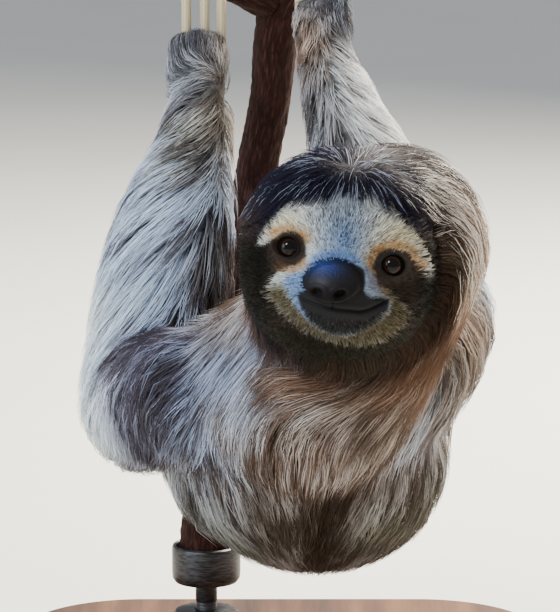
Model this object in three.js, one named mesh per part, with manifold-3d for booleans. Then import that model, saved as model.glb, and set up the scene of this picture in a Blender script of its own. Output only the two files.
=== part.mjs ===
// A young three-toed sloth, life size, hanging from a forked branch on a display stand.
// Millimetres, +Z up. The animal faces -Y; +X is on the left of a person it looks at,
// so its own right side lies at -X. The origin is the centre of the stand's underside.
// Every solid of the body reaches out to the tips of the coat.

import * as THREE from 'three';
import Module from 'manifold-3d';

const wasm = await Module();
wasm.setup();

// ---------------------------------------------------------------- driving sizes

const GAP = 0.3;                 // clearance between neighbouring pieces
const BODY_SIDES = 18;           // facets round the trunk and neck
const LIMB_SIDES = 11;           // facets round a limb
const CLAW_SIDES = 6;
const BRANCH_SIDES = 10;
const ROUND_END = 2;             // rings in a rounded end of the body
const CLAW_END = 1;              // rings in a claw's end
const SHAG = 0.025;              // depth of the locks in the outline, as a share of the radius
const SHAG_LOCKS = 5;            // locks round a section

const HEAD_DETAIL = 6;           // times each edge of a 20-sided ball is split
const HEAD_HOLLOW = { detail: 4, extra: 0.6 };

const GAZE_DROP = 10;            // the face is square to a line that climbs 10 degrees towards -Y
const FACE = { x: 21.2, y: -220, z: 242.7 };      // midpoint of the two pupils
const HEAD_CENTRE = { a: 0.2, b: -33, c: -1.2 };  // in the face's own axes, from that midpoint
const HEAD_RADII = { side: 36.8, front: 33.5, back: 36, up: 39.5, down: 38.5 };
const FACE_FLATNESS = 2.6;       // 2 is round
const EYE_RADIUS = 4.8;
const EYES = { right: { a: -17.9, b: -6.6, c: 3.1 }, left: { a: 17.6, b: -6.6, c: -3.1 } };
const NOSE = { a: -2.5, b: 7, c: -8.4, wide: 10.2, deep: 4.6, high: 6.6 };

const STEM_RADIUS = 9;           // the branch at the hands and feet
const STEM_FOOT_RADIUS = 12.4;   // the branch at its cut lower end
const BOUGH_RADIUS = 8.6;

const FINGER_SPREAD = 6.6;       // between two claws of a hand
const TOE_SPREAD = 6.2;          // between two claws of a foot
const HAND_CLAW = { thick: 2.5, tip: 0.8, lead: { right: 31, left: 16 }, wrap: 165 };
const FOOT_CLAW = { thick: 2.2, tip: 0.8, lead: 4, wrap: 120 };

const BASE = { wide: 250, long: 330, thick: 18, corner: 60, bevel: 2.5 };
const ROD_RADIUS = 5;
const COLLAR = { radius: 15, thick: 5 };
const CUP = { radius: 15.8, wall: 2.2, floor: 3, bottom: 36, deep: 15 };

// ---------------------------------------------------------------- places of the joints

const at = (x, y, z) => new THREE.Vector3(x, y, z);

const SPINE = {
  nape: at(40, -164, 240),
  neck: at(24, -156, 206),
  neckBase: at(12, -135, 184),
  shoulders: at(8.3, -125, 176.9),
  chest: at(10.3, -65, 149.7),
  hips: at(15.2, 5, 118.7),
  rump: at(19.6, 45, 103),
};
const ARM = {
  right: {
    shoulder: at(-28.5, -116, 174), upper: at(-40, -70, 162), elbow: at(-52, -22, 150),
    below: at(-50, -15, 179), middle: at(-45, -5, 210.7), above: at(-40.2, 2, 230.6),
    thin: at(-36.2, 10, 250.4), wrist: at(-33.8, 15.5, 262), palm: at(-33.4, 24, 275),
    fingers: at(-34.5, 33, 292),
  },
  left: {
    shoulder: at(44.5, -116, 183), upper: at(52, -75, 183), elbow: at(58, -32, 186),
    below: at(53, -23, 204), middle: at(44, -12, 227), above: at(32, 3, 250),
    thin: at(24.5, 15, 270.7), wrist: at(19.7, 25, 284.3), palm: at(18.1, 32, 296.5),
    fingers: at(17.7, 38.5, 308),
  },
};
const LEG = {
  right: {
    hip: at(-21, 12, 113), knee: at(-47.6, 25, 171.6), calf: at(-39, 52, 149),
    ankle: at(-29.5, 79, 129), instep: at(-35, 91, 127), toes: at(-37.5, 103, 127),
  },
  left: {
    hip: at(38.8, 8, 118), knee: at(63.5, 22, 183), calf: at(39, 46, 165),
    ankle: at(12, 71, 150), instep: at(3, 84, 151), toes: at(-4.5, 97, 152),
  },
};
const STEM = {
  foot: at(-34, 121, CUP.bottom + CUP.floor + GAP),
  low: at(-34, 121, 58),
  feet: at(-26.3, 108, 110.2),
  knee: at(-18.8, 98, 167.2),
  mid: at(-12.4, 88, 218.3),
  high: at(-4.4, 76, 264),
  fork: at(1.7, 63, 306),
  bend: at(17.7, 54.5, 325),
  end: at(47, 49, 333),
};
const BOUGH = {
  root: at(-3, 61, 309),
  hand: at(-34.5, 50, 322.5),
  end: at(-64, 46, 326),
};

// ---------------------------------------------------------------- solids

const X_AXIS = at(1, 0, 0);
const UP = at(0, 0, 1);
const TOWARDS_FACE = at(0, -1, 0);
const DEGREE = Math.PI / 180;
const smooth = (low, high, value) => THREE.MathUtils.smoothstep(value, low, high);

function solidOf(geometry) {
  const mesh = new wasm.Mesh({
    numProp: 3,
    vertProperties: new Float32Array(geometry.getAttribute('position').array),
    triVerts: new Uint32Array(geometry.getIndex().array),
  });
  return new wasm.Manifold(mesh);
}

function geometryOf(solid) {
  const mesh = solid.getMesh();
  const geometry = new THREE.BufferGeometry();
  geometry.setAttribute('position', new THREE.BufferAttribute(mesh.vertProperties, 3));
  geometry.setIndex(new THREE.BufferAttribute(mesh.triVerts, 1));
  geometry.computeVertexNormals();
  return geometry;
}

// The largest of the bodies that a cut leaves.
function mainBody(solid) {
  const bodies = solid.decompose();
  return bodies.reduce((best, body) => (body.volume() > best.volume() ? body : best));
}

// A closed skin over rings of equal length, with a point at each end.
function skinOver(rings, start, end) {
  const sides = rings[0].length;
  const points = [start, ...rings.flat(), end];
  const index = [];
  for (let side = 0; side < sides; side += 1) {
    const next = (side + 1) % sides;
    index.push(0, 1 + side, 1 + next);
    for (let ring = 0; ring < rings.length - 1; ring += 1) {
      const near = 1 + ring * sides;
      const far = near + sides;
      index.push(near + side, far + next, near + next);
      index.push(near + side, far + side, far + next);
    }
    const last = 1 + (rings.length - 1) * sides;
    index.push(last + side, points.length - 1, last + next);
  }
  const geometry = new THREE.BufferGeometry();
  geometry.setAttribute('position', new THREE.Float32BufferAttribute(points.flatMap((p) => p.toArray()), 3));
  geometry.setIndex(index);
  return geometry;
}

// One section of a limb: a ring of points round a centre, wider along one direction.
function section(centre, across, along, wide, deep, sides, shag, phase) {
  const ring = [];
  for (let side = 0; side < sides; side += 1) {
    const angle = (2 * Math.PI * side) / sides;
    const lock = 1 + shag * Math.cos(SHAG_LOCKS * angle + phase);
    ring.push(centre.clone()
      .addScaledVector(across, wide * lock * Math.cos(angle))
      .addScaledVector(along, deep * lock * Math.sin(angle)));
  }
  return ring;
}

// A rounded body along a smooth path. Each station is [place, half width, half depth];
// the width lies square to `facing`, and `grow` swells the body all round.
function limb(stations, {
  facing = UP, sides = LIMB_SIDES, steps = 2, shag = SHAG, grow = 0, blunt = 0.8, caps = ROUND_END,
}) {
  const path = new THREE.CatmullRomCurve3(stations.map(([place]) => place), false, 'centripetal');
  const sizes = new THREE.CatmullRomCurve3(stations.map(([, wide, deep]) => at(wide, deep, 0)));
  const count = (stations.length - 1) * steps;
  const rings = [];
  const frameAt = (share) => {
    const ahead = path.getTangent(share);
    const across = new THREE.Vector3().crossVectors(ahead, facing).normalize();
    const along = new THREE.Vector3().crossVectors(across, ahead);
    return { centre: path.getPoint(share), size: sizes.getPoint(share), ahead, across, along };
  };
  const addRing = (frame, shrink, slide, phase) => {
    const { centre, size, ahead, across, along } = frame;
    const middle = centre.clone().addScaledVector(ahead, slide);
    const wide = (size.x + grow) * shrink;
    const deep = (size.y + grow) * shrink;
    rings.push(section(middle, across, along, wide, deep, sides, shag * shrink, phase));
  };
  const first = frameAt(0);
  const last = frameAt(1);
  const reach = (frame) => blunt * Math.min(frame.size.x, frame.size.y) + grow;
  for (let ring = 1; ring <= caps; ring += 1) {
    const angle = (ring / (caps + 1)) * 90 * DEGREE;
    addRing(first, Math.sin(angle), -reach(first) * Math.cos(angle), 0);
  }
  for (let step = 0; step <= count; step += 1) {
    addRing(frameAt(step / count), 1, 0, 0.9 * step);
  }
  for (let ring = caps; ring >= 1; ring -= 1) {
    const angle = (ring / (caps + 1)) * 90 * DEGREE;
    addRing(last, Math.sin(angle), reach(last) * Math.cos(angle), 0.9 * count);
  }
  const start = first.centre.clone().addScaledVector(first.ahead, -reach(first));
  const end = last.centre.clone().addScaledVector(last.ahead, reach(last));
  return skinOver(rings, start, end);
}

// ---------------------------------------------------------------- head

const faceFrame = new THREE.Matrix4()
  .makeTranslation(FACE.x, FACE.y, FACE.z)
  .multiply(new THREE.Matrix4().makeRotationX(-GAZE_DROP * DEGREE));

// A place in the face's own axes: a to the side, b out of the face, c up.
const onFace = ({ a, b, c }) => at(a, -b, c).applyMatrix4(faceFrame);

// A swelling of the head towards one direction, `reach` radians wide.
const swelling = (direction, towards, reach) => {
  const away = direction.angleTo(towards) / reach;
  return Math.exp(-away * away);
};
const towards = (a, b, c) => at(a, b, c).normalize();
const fromCentre = ({ a, b, c }) => towards(a - HEAD_CENTRE.a, b - HEAD_CENTRE.b, c - HEAD_CENTRE.c);

const HEAD_FORMS = [
  { way: fromCentre({ a: NOSE.a, b: 6, c: -12 }), reach: 0.46, height: 8 },         // muzzle
  { way: fromCentre({ a: -20, b: -12, c: 14 }), reach: 0.35, height: 1.8 },         // brow, right
  { way: fromCentre({ a: 20, b: -12, c: 10 }), reach: 0.35, height: 1.8 },          // brow, left
  { way: fromCentre({ ...EYES.right, b: -3 }), reach: 0.2, height: -3.2 },          // socket, right
  { way: fromCentre({ ...EYES.left, b: -3 }), reach: 0.2, height: -3.2 },           // socket, left
  { way: towards(-0.75, 0.45, -0.6), reach: 0.4, height: 1.5 },                     // cheek, right
  { way: towards(0.75, 0.45, -0.6), reach: 0.4, height: 1.5 },                      // cheek, left
];

// How far the coat of the head stands from its centre in one direction (a, b, c).
function headReach(way) {
  const fore = way.y > 0 ? HEAD_RADII.front : HEAD_RADII.back;
  const high = way.z > 0 ? HEAD_RADII.up : HEAD_RADII.down;
  const round = Math.hypot(way.x / HEAD_RADII.side, way.z / high);
  const power = way.y > 0 ? FACE_FLATNESS : 2;
  const oval = (round ** power + Math.abs(way.y / fore) ** power) ** (1 / power);
  const forms = HEAD_FORMS.map(({ way: axis, reach, height }) => height * swelling(way, axis, reach));
  return 1 / oval + forms.reduce((sum, height) => sum + height, 0);
}

// The head, or with `grow` the hollow that the neck leaves for it: a coarser form, far
// enough out for its facets to stay clear.
function headShape(grow) {
  const detail = grow > 0 ? HEAD_HOLLOW.detail : HEAD_DETAIL;
  const extra = grow > 0 ? HEAD_HOLLOW.extra : 0;
  const merged = weld(new THREE.IcosahedronGeometry(1, detail));
  const places = merged.getAttribute('position');
  for (let vertex = 0; vertex < places.count; vertex += 1) {
    const way = new THREE.Vector3().fromBufferAttribute(places, vertex).normalize();
    const face = at(way.x, -way.y, way.z);
    const reach = headReach(face) + grow + extra;
    const place = onFace({
      a: HEAD_CENTRE.a + reach * face.x,
      b: HEAD_CENTRE.b + reach * face.y,
      c: HEAD_CENTRE.c + reach * face.z,
    });
    places.setXYZ(vertex, place.x, place.y, place.z);
  }
  return merged;
}

// One vertex for each place, as the booleans need.
function weld(geometry) {
  const from = geometry.getAttribute('position');
  const old = geometry.getIndex();
  const count = old ? old.count : from.count;
  const known = new Map();
  const points = [];
  const index = [];
  for (let corner = 0; corner < count; corner += 1) {
    const point = new THREE.Vector3().fromBufferAttribute(from, old ? old.getX(corner) : corner);
    const key = point.toArray().map((value) => Math.round(value * 1e4)).join(' ');
    if (!known.has(key)) {
      known.set(key, known.size);
      points.push(...point.toArray());
    }
    index.push(known.get(key));
  }
  const corners = [];
  for (let face = 0; face < index.length; face += 3) {
    const [one, two, three] = index.slice(face, face + 3);
    if (one !== two && two !== three && three !== one) corners.push(one, two, three);
  }
  const geometryOut = new THREE.BufferGeometry();
  geometryOut.setAttribute('position', new THREE.Float32BufferAttribute(points, 3));
  geometryOut.setIndex(corners);
  return geometryOut;
}

function ballShape(place, radii, widthSegments, heightSegments) {
  const ball = weld(new THREE.SphereGeometry(1, widthSegments, heightSegments));
  ball.scale(radii.x, radii.y, radii.z);
  ball.rotateX(-GAZE_DROP * DEGREE);
  ball.translate(place.x, place.y, place.z);
  return ball;
}

function eyeShape(side, grow) {
  const radius = EYE_RADIUS + grow;
  return ballShape(onFace(EYES[side]), at(radius, radius, radius), 12, 6);
}

function noseShape(grow) {
  const { wide, deep, high } = NOSE;
  return ballShape(onFace(NOSE), at(wide + grow, deep + grow, high + grow), 14, 7);
}

// ---------------------------------------------------------------- trunk, neck and limbs

const trunkShape = (grow) => limb([
  [SPINE.shoulders, 47, 41],
  [SPINE.shoulders.clone().lerp(SPINE.chest, 0.5), 55, 46],
  [SPINE.chest, 58, 50],
  [SPINE.chest.clone().lerp(SPINE.hips, 0.5), 56, 50],
  [SPINE.hips, 52, 49],
  [SPINE.rump, 35, 33],
], { sides: BODY_SIDES, grow });

const neckShape = (grow) => limb([
  [SPINE.nape, 37.5, 35],
  [SPINE.neck, 40, 38],
  [SPINE.neckBase, 44, 42],
], { sides: BODY_SIDES, facing: TOWARDS_FACE, grow, blunt: 0.75 });

const tailShape = (grow) => limb([
  [SPINE.rump.clone().add(at(2, 22, -6)), 14, 12],
  [SPINE.rump.clone().add(at(4, 40, -13)), 12, 9],
  [SPINE.rump.clone().add(at(5, 52, -19)), 8, 5],
], { grow });

const upperArmShape = (side, grow) => {
  const { shoulder, upper, elbow } = ARM[side];
  return limb([[shoulder, 29, 30], [upper, 30, 30], [elbow, 30.5, 31]], { grow });
};

const forearmShape = (side, grow) => {
  const { elbow, below, middle, above, thin, wrist } = ARM[side];
  const stout = side === 'right' ? 1 : 0.9;
  return limb([
    [elbow, 27, 27],
    [below, 30.5 * stout, 28.5],
    [middle, 28.5 * stout, 25],
    [above, 25 * stout, 22],
    [thin, 19 * stout, 17],
    [wrist, 16.5 * stout, 13.5],
  ], { facing: TOWARDS_FACE, grow, steps: 2 });
};

const handShape = (side, grow) => {
  const { wrist, palm, fingers } = ARM[side];
  return limb([[wrist, 15, 12.5], [palm, 16, 10.5], [fingers, 12.5, 6.5]], {
    facing: TOWARDS_FACE, grow, blunt: 0.5,
  });
};

const thighShape = (side, grow) => {
  const { hip, knee } = LEG[side];
  const middle = hip.clone().lerp(knee, 0.5);
  return limb([[hip, 27, 27], [middle, 28, 28], [knee, 25, 25]], { facing: TOWARDS_FACE, grow });
};

const shankShape = (side, grow) => {
  const { knee, calf, ankle } = LEG[side];
  return limb([[knee, 20, 20], [calf, 18.5, 18.5], [ankle, 13.5, 13.5]], { grow });
};

const footShape = (side, grow) => {
  const { ankle, instep, toes } = LEG[side];
  return limb([[ankle, 12.5, 13], [instep, 9.5, 13], [toes, 5.5, 10.5]], { grow, blunt: 0.5 });
};

// ---------------------------------------------------------------- claws

// A claw that leads from a fingertip and hooks round a branch. `out` points from the
// branch's axis to the fingertip side and `over` is the way in which the claw goes round.
// The lead runs against `over` for the first length, or straight up out of a hand.
function clawShape(centre, branchRadius, out, over, claw, grow) {
  const stations = [];
  const reach = branchRadius + 2 * GAP;
  const leads = [1, 0.5];
  const back = claw.straight ? UP : over;
  leads.forEach((share) => {
    const place = centre.clone()
      .addScaledVector(out, reach + claw.thick)
      .addScaledVector(back, -claw.lead * share);
    stations.push([place, claw.thick * 0.85, claw.thick]);
  });
  const turns = 4;
  for (let turn = 0; turn <= turns; turn += 1) {
    const share = turn / turns;
    const thick = THREE.MathUtils.lerp(claw.thick, claw.tip, share ** 1.6);
    const angle = claw.wrap * share * DEGREE;
    const place = centre.clone()
      .addScaledVector(out, (reach + thick) * Math.cos(angle))
      .addScaledVector(over, (reach + thick) * Math.sin(angle));
    stations.push([place, thick * 0.85, thick]);
  }
  const facing = new THREE.Vector3().crossVectors(out, over);
  return limb(stations, { facing, sides: CLAW_SIDES, steps: 1, caps: CLAW_END, shag: 0, grow });
}

// The place and direction of a branch where a plane square to one axis cuts it.
function branchAt(path, axis, value) {
  let low = 0;
  let high = 1;
  const rising = path.getPoint(1)[axis] > path.getPoint(0)[axis];
  for (let pass = 0; pass < 30; pass += 1) {
    const middle = (low + high) / 2;
    const before = path.getPoint(middle)[axis] < value;
    if (before === rising) low = middle;
    else high = middle;
  }
  return { place: path.getPoint(low), along: path.getTangent(low) };
}

const stemPath = new THREE.CatmullRomCurve3(Object.values(STEM), false, 'centripetal');
const boughPath = new THREE.CatmullRomCurve3(Object.values(BOUGH), false, 'centripetal');

function handClaw(side, finger, grow) {
  const path = side === 'right' ? boughPath : stemPath;
  const tip = ARM[side].fingers;
  const { place, along } = branchAt(path, 'x', tip.x + (finger - 1) * FINGER_SPREAD);
  const out = TOWARDS_FACE.clone().addScaledVector(along, -TOWARDS_FACE.dot(along)).normalize();
  const over = new THREE.Vector3().crossVectors(out, along).normalize();
  if (over.z < 0) over.negate();
  const claw = { ...HAND_CLAW, lead: HAND_CLAW.lead[side], straight: true };
  return clawShape(place, BOUGH_RADIUS + 0.9, out, over, claw, grow);
}

function footClaw(side, toe, grow) {
  const sign = side === 'right' ? -1 : 1;
  const height = LEG[side].toes.z + (toe - 1) * TOE_SPREAD;
  const { place, along } = branchAt(stemPath, 'z', height);
  const level = X_AXIS.clone().multiplyScalar(sign);
  const out = level.addScaledVector(along, -level.dot(along)).normalize();
  const over = new THREE.Vector3().crossVectors(out, along).normalize();
  if (over.y < 0) over.negate();
  return clawShape(place, STEM_RADIUS + 1.3, out, over, FOOT_CLAW, grow);
}

// ---------------------------------------------------------------- branch

const stemShape = (grow) => limb([
  [STEM.foot, STEM_FOOT_RADIUS, STEM_FOOT_RADIUS],
  [STEM.low, STEM_FOOT_RADIUS, STEM_FOOT_RADIUS],
  [STEM.feet, 10.3, 10.3],
  [STEM.knee, 9.8, 9.8],
  [STEM.mid, 9.5, 9.5],
  [STEM.high, 9.2, 9.2],
  [STEM.fork, 10, 10],
  [STEM.bend, BOUGH_RADIUS, BOUGH_RADIUS],
  [STEM.end, BOUGH_RADIUS - 0.6, BOUGH_RADIUS - 0.6],
], { facing: TOWARDS_FACE, sides: BRANCH_SIDES, shag: 0, grow, blunt: 0.02 });

const boughShape = (grow) => limb([
  [BOUGH.root, 9.4, 9.4],
  [BOUGH.hand, BOUGH_RADIUS, BOUGH_RADIUS],
  [BOUGH.end, BOUGH_RADIUS - 0.8, BOUGH_RADIUS - 0.8],
], { sides: BRANCH_SIDES, shag: 0, grow, blunt: 0.02 });

// ---------------------------------------------------------------- display stand

function baseShape() {
  const { wide, long, thick, corner, bevel } = BASE;
  const x = wide / 2 - bevel;
  const y = long / 2 - bevel;
  const round = corner - bevel;
  const outline = new THREE.Shape();
  outline.moveTo(-x + round, -y);
  outline.absarc(x - round, -y + round, round, -Math.PI / 2, 0);
  outline.absarc(x - round, y - round, round, 0, Math.PI / 2);
  outline.absarc(-x + round, y - round, round, Math.PI / 2, Math.PI);
  outline.absarc(-x + round, -y + round, round, Math.PI, 1.5 * Math.PI);
  const slab = new THREE.ExtrudeGeometry(outline, {
    depth: thick - 2 * bevel, bevelThickness: bevel, bevelSize: bevel, bevelSegments: 2, curveSegments: 4,
  });
  slab.translate(0, 0, bevel);
  return weld(slab);
}

// A turned piece about the vertical from [radius, height] pairs that start and end on
// the axis, or close on themselves.
function turned(profile, segments = 20) {
  const lathe = new THREE.LatheGeometry(profile.map(([radius, height]) => new THREE.Vector2(radius, height)), segments);
  lathe.rotateX(Math.PI / 2);
  return lathe;
}

function rodShape() {
  const length = CUP.bottom - GAP - (BASE.thick + GAP);
  const rod = new THREE.CylinderGeometry(ROD_RADIUS, ROD_RADIUS, length, 24);
  rod.rotateX(Math.PI / 2);
  rod.translate(0, 0, BASE.thick + GAP + length / 2);
  return rod;
}

function collarShape() {
  const inner = ROD_RADIUS + GAP;
  const bottom = BASE.thick + GAP;
  const top = bottom + COLLAR.thick;
  return turned([
    [inner, bottom], [COLLAR.radius, bottom], [COLLAR.radius, top - 1.5],
    [COLLAR.radius - 1.5, top], [inner, top], [inner, bottom],
  ]);
}

function cupShape() {
  const { radius, wall, floor, bottom, deep } = CUP;
  const rim = bottom + deep;
  return turned([
    [0, bottom], [radius - 3, bottom], [radius, bottom + 3], [radius, rim],
    [radius - wall, rim], [radius - wall, bottom + floor], [0, bottom + floor],
  ]);
}

// ---------------------------------------------------------------- the scene graph

const COATS = {
  pale: { color: 0xb3a48c, roughness: 0.95 },
  brown: { color: 0x6f5b49, roughness: 0.95 },
  dark: { color: 0x3a2c24, roughness: 0.95 },
  claw: { color: 0xb9a888, roughness: 0.5 },
  nose: { color: 0x1c1b20, roughness: 0.4 },
  eye: { color: 0x2a160b, roughness: 0.08 },
  bark: { color: 0x6b4333, roughness: 0.9 },
  wood: { color: 0x4a3120, roughness: 0.45 },
  steel: { color: 0x6d7074, roughness: 0.35, metalness: 1 },
};

const sloth = new THREE.Group();
sloth.name = 'three_toed_sloth';

function addMesh(name, geometry, finish) {
  const mesh = new THREE.Mesh(geometry, new THREE.MeshStandardMaterial(COATS[finish]));
  mesh.name = name;
  sloth.add(mesh);
  return mesh;
}

// The pieces in the order in which they are made: each is cut back, with the clearance,
// from all those before it.
const pieces = [];

function addPiece(name, shape, finish, options = {}) {
  const body = pieces.reduce((rest, earlier) => rest.subtract(earlier.grown), solidOf(shape(0)));
  addMesh(name, geometryOf(mainBody(body)), finish);
  if (!options.open) pieces.push({ grown: solidOf(shape(GAP)) });
}

addPiece('branch_stem', stemShape, 'bark');
addPiece('branch_bough', boughShape, 'bark');
for (const side of ['right', 'left']) addPiece(`eye_${side}`, (grow) => eyeShape(side, grow), 'eye');
addPiece('nose', noseShape, 'nose');
addPiece('head', headShape, 'dark');
addPiece('trunk', trunkShape, 'brown');
addPiece('neck', neckShape, 'brown');
addPiece('tail', tailShape, 'brown');
for (const side of ['right', 'left']) {
  addPiece(`upper_arm_${side}`, (grow) => upperArmShape(side, grow), 'brown');
  addPiece(`forearm_${side}`, (grow) => forearmShape(side, grow), 'pale');
  addPiece(`hand_${side}`, (grow) => handShape(side, grow), 'pale');
  addPiece(`thigh_${side}`, (grow) => thighShape(side, grow), 'pale');
  addPiece(`shank_${side}`, (grow) => shankShape(side, grow), 'pale');
  addPiece(`foot_${side}`, (grow) => footShape(side, grow), 'pale');
}
for (const side of ['right', 'left']) {
  for (let digit = 0; digit < 3; digit += 1) {
    addPiece(`hand_claw_${side}_${digit + 1}`, (grow) => handClaw(side, digit, grow), 'claw');
    addPiece(`foot_claw_${side}_${digit + 1}`, (grow) => footClaw(side, digit, grow), 'claw');
  }
}

addMesh('stand_base', baseShape(), 'wood');
for (const [name, shape] of [['stand_rod', rodShape], ['stand_collar', collarShape], ['stand_cup', cupShape]]) {
  addMesh(name, shape(), 'steel').position.set(STEM.foot.x, STEM.foot.y, 0);
}

export default sloth;
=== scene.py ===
"""A young three-toed sloth as a still, life-size model on a display stand.

The script dresses the frame of plain solids: one skin over the whole animal, a coat of tufts grown over the skin,
eyes, claws, the branch that the animal hangs from and the stand that holds the branch.
"""

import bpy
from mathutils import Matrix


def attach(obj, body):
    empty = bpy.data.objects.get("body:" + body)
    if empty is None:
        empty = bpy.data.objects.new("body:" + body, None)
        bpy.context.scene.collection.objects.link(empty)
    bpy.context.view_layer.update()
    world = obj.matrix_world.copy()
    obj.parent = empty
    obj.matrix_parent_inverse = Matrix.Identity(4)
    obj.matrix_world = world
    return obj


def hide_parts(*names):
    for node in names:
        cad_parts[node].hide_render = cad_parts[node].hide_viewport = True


bl_info = {
    "name": "Three-toed sloth display model",
    "version": (1, 0, 0),
    "blender": (4, 5, 0),
    "location": "View3D > Sidebar > Sloth",
    "description": "Builds a still, life-size three-toed sloth with its coat, perch and stand",
    "category": "Add Mesh",
}

import functools

import bmesh
import bpy
import numpy as np
from bpy.props import FloatProperty, FloatVectorProperty, PointerProperty
from mathutils import Vector

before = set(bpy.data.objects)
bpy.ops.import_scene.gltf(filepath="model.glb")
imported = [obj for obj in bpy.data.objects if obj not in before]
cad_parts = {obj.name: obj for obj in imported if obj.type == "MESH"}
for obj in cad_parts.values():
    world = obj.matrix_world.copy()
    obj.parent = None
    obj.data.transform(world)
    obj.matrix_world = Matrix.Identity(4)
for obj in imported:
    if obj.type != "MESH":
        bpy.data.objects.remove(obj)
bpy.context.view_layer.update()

MM = 0.001
ROOT = "root"
SIDES = ("right", "left")

# --- places of the animal, in millimetres
# The same joints as the frame's. +X is the animal's left, -Y the way its face points, +Z up.

GAZE_DROP = np.radians(10.0)
FACE = np.array((21.2, -220.0, 242.7))
FACE_AXES = np.array((
    (1.0, 0.0, 0.0),
    (0.0, -np.cos(GAZE_DROP), np.sin(GAZE_DROP)),
    (0.0, np.sin(GAZE_DROP), np.cos(GAZE_DROP)),
))
HEAD_CENTRE = np.array((0.2, -33.0, -1.2))
HEAD_COAT = {"side": 37.8, "front": 33.5, "back": 36.5, "up": 41.0, "down": 38.5}
FACE_FLATNESS = 2.6
EYE_RADIUS = 4.8
EYES = {"right": np.array((-17.9, -6.6, 3.1)), "left": np.array((17.6, -6.6, -3.1))}
EYE_OPENING = {"right": (3.1, 3.25), "left": (3.5, 3.3)}
NOSE = np.array((-2.5, 7.0, -8.4))

# Each chain is the flesh of one limb: places down its middle, with its radius and the depth of the coat there.
CHAINS = {
    "trunk": ((8.3, -125, 176.9, 31, 10), (9.3, -95, 163.3, 36, 10), (10.3, -65, 149.7, 40, 10),
              (12.7, -30, 134.2, 40.5, 10), (15.2, 5, 118.7, 38, 10), (19.6, 45, 103, 25, 9)),
    "neck": ((39.5, -163, 238.5, 27.5, 9.5), (25, -156, 206, 29.5, 9.5), (12, -135, 184, 32, 10)),
    "tail": ((20.6, 55, 101, 10, 6), (23.6, 85, 90, 6.5, 5), (24.6, 95, 85, 3.5, 4)),
    "upper_arm_right": ((-28, -116, 174, 19, 10), (-40, -70, 162, 20, 10), (-51.5, -22, 150.5, 21, 9.5)),
    "forearm_right": ((-51.5, -23, 152, 20, 9), (-50, -15, 179, 21, 9.5), (-45, -5, 210.7, 19.3, 8.5),
                      (-40.2, 2, 230.6, 16.5, 8), (-36.2, 10, 249, 12, 6.5), (-33.8, 15.5, 262, 10.5, 5)),
    "hand_right": ((-33.8, 15.5, 262, 10.5, 5), (-33.4, 23.5, 274, 8.5, 4.5), (-34.3, 30, 283, 6.5, 3.5)),
    "thigh_right": ((-21, 12, 113, 19, 9), (-34, 18, 142, 18, 9), (-47.6, 25, 171.6, 15.5, 8.5)),
    "shank_right": ((-47.6, 25, 171.6, 13, 7), (-39, 52, 149, 12, 6.5), (-29.5, 79, 129, 9, 4.5)),
    "foot_right": ((-29.5, 79, 129, 8.5, 4), (-35, 91, 127, 6.8, 3), (-37.2, 100, 127, 5, 1.6)),
    "upper_arm_left": ((44.5, -116, 183, 19, 10), (52, -75, 183, 20, 10), (57.5, -32, 186, 21, 9.5)),
    "forearm_left": ((57.5, -32, 187, 18.5, 9), (53, -23, 204, 18.5, 9), (43.5, -12, 227, 17, 8),
                     (32, 3, 250, 14, 7.5), (24.5, 15, 270.7, 11, 6), (19.7, 25, 284.3, 9, 4.5)),
    "hand_left": ((19.7, 25, 284.3, 9, 4.5), (18.1, 31.5, 296.5, 7, 3.5), (17.9, 35.5, 303, 5.5, 2.5)),
    "thigh_left": ((38.8, 8, 118, 18, 9), (51, 15, 150, 18, 9), (63, 22, 182, 15.5, 8.5)),
    "shank_left": ((63, 22, 182, 13, 7), (39, 46, 165, 12, 6.5), (12, 71, 150, 9, 4.5)),
    "foot_left": ((12, 71, 150, 8.5, 4), (3, 84, 151, 6.8, 3), (-4.2, 94, 152, 5, 1.6)),
}
FINGERTIPS = {
    "right": ((-41, 34, 291), (-34.5, 34, 293), (-28, 34, 292)),
    "left": ((10.6, 38, 307), (17.8, 38.5, 308.5), (25, 37.5, 309)),
}
for _side, _tips in FINGERTIPS.items():
    _palm = CHAINS[f"hand_{_side}"][1]
    for _finger, _tip in enumerate(_tips):
        CHAINS[f"finger_{_side}_{_finger + 1}"] = (
            (_palm[0] + (_finger - 1) * 5.5, _palm[1], _palm[2], 5.2, 2.5), (*_tip, 4.2, 1.6))
CHAIN_NAMES = tuple(CHAINS)
HEAD_LABEL = len(CHAIN_NAMES)
TRUNK_WIDENING = 1.15  # the trunk is this much wider than deep
TRUNK_MIDDLE = 12.0
JOIN = 9.0  # width of the soft fillet between two limbs
SMALL_JOIN = 3.0
HEAD_JOIN = 18.0
SKIN_PITCH = 2.8  # between the points of the grid that the skin is drawn from
SKIN_LOW = np.array((-95.0, -275.0, 60.0))
SKIN_HIGH = np.array((105.0, 120.0, 330.0))


# --- small helpers

def has_label(label, *starts):
    """True where the nearest limb's name starts with one of the words."""
    known = np.array([name.startswith(starts) for name in CHAIN_NAMES] + [False])
    return known[label]


def names_of(*starts):
    """The limbs whose names start with one of the words."""
    return [name for name in CHAIN_NAMES if name.startswith(starts)]


def smooth(low, high, value):
    """Rises from 0 at low to 1 at high by the cubic 3t^2 - 2t^3."""
    share = np.clip((value - low) / (high - low), 0.0, 1.0)
    return share * share * (3.0 - 2.0 * share)


def mix(one, two, share):
    """The straight blend from one to two."""
    return one + (two - one) * share


def bell(away, size):
    """The bell e^-(away / size)^2: 1 at no distance and fading over a size."""
    return np.exp(-(away / size) ** 2)


def unit(vectors):
    """Vectors scaled to length 1."""
    return vectors / np.maximum(np.linalg.norm(vectors, axis=-1, keepdims=True), 1e-9)


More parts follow.
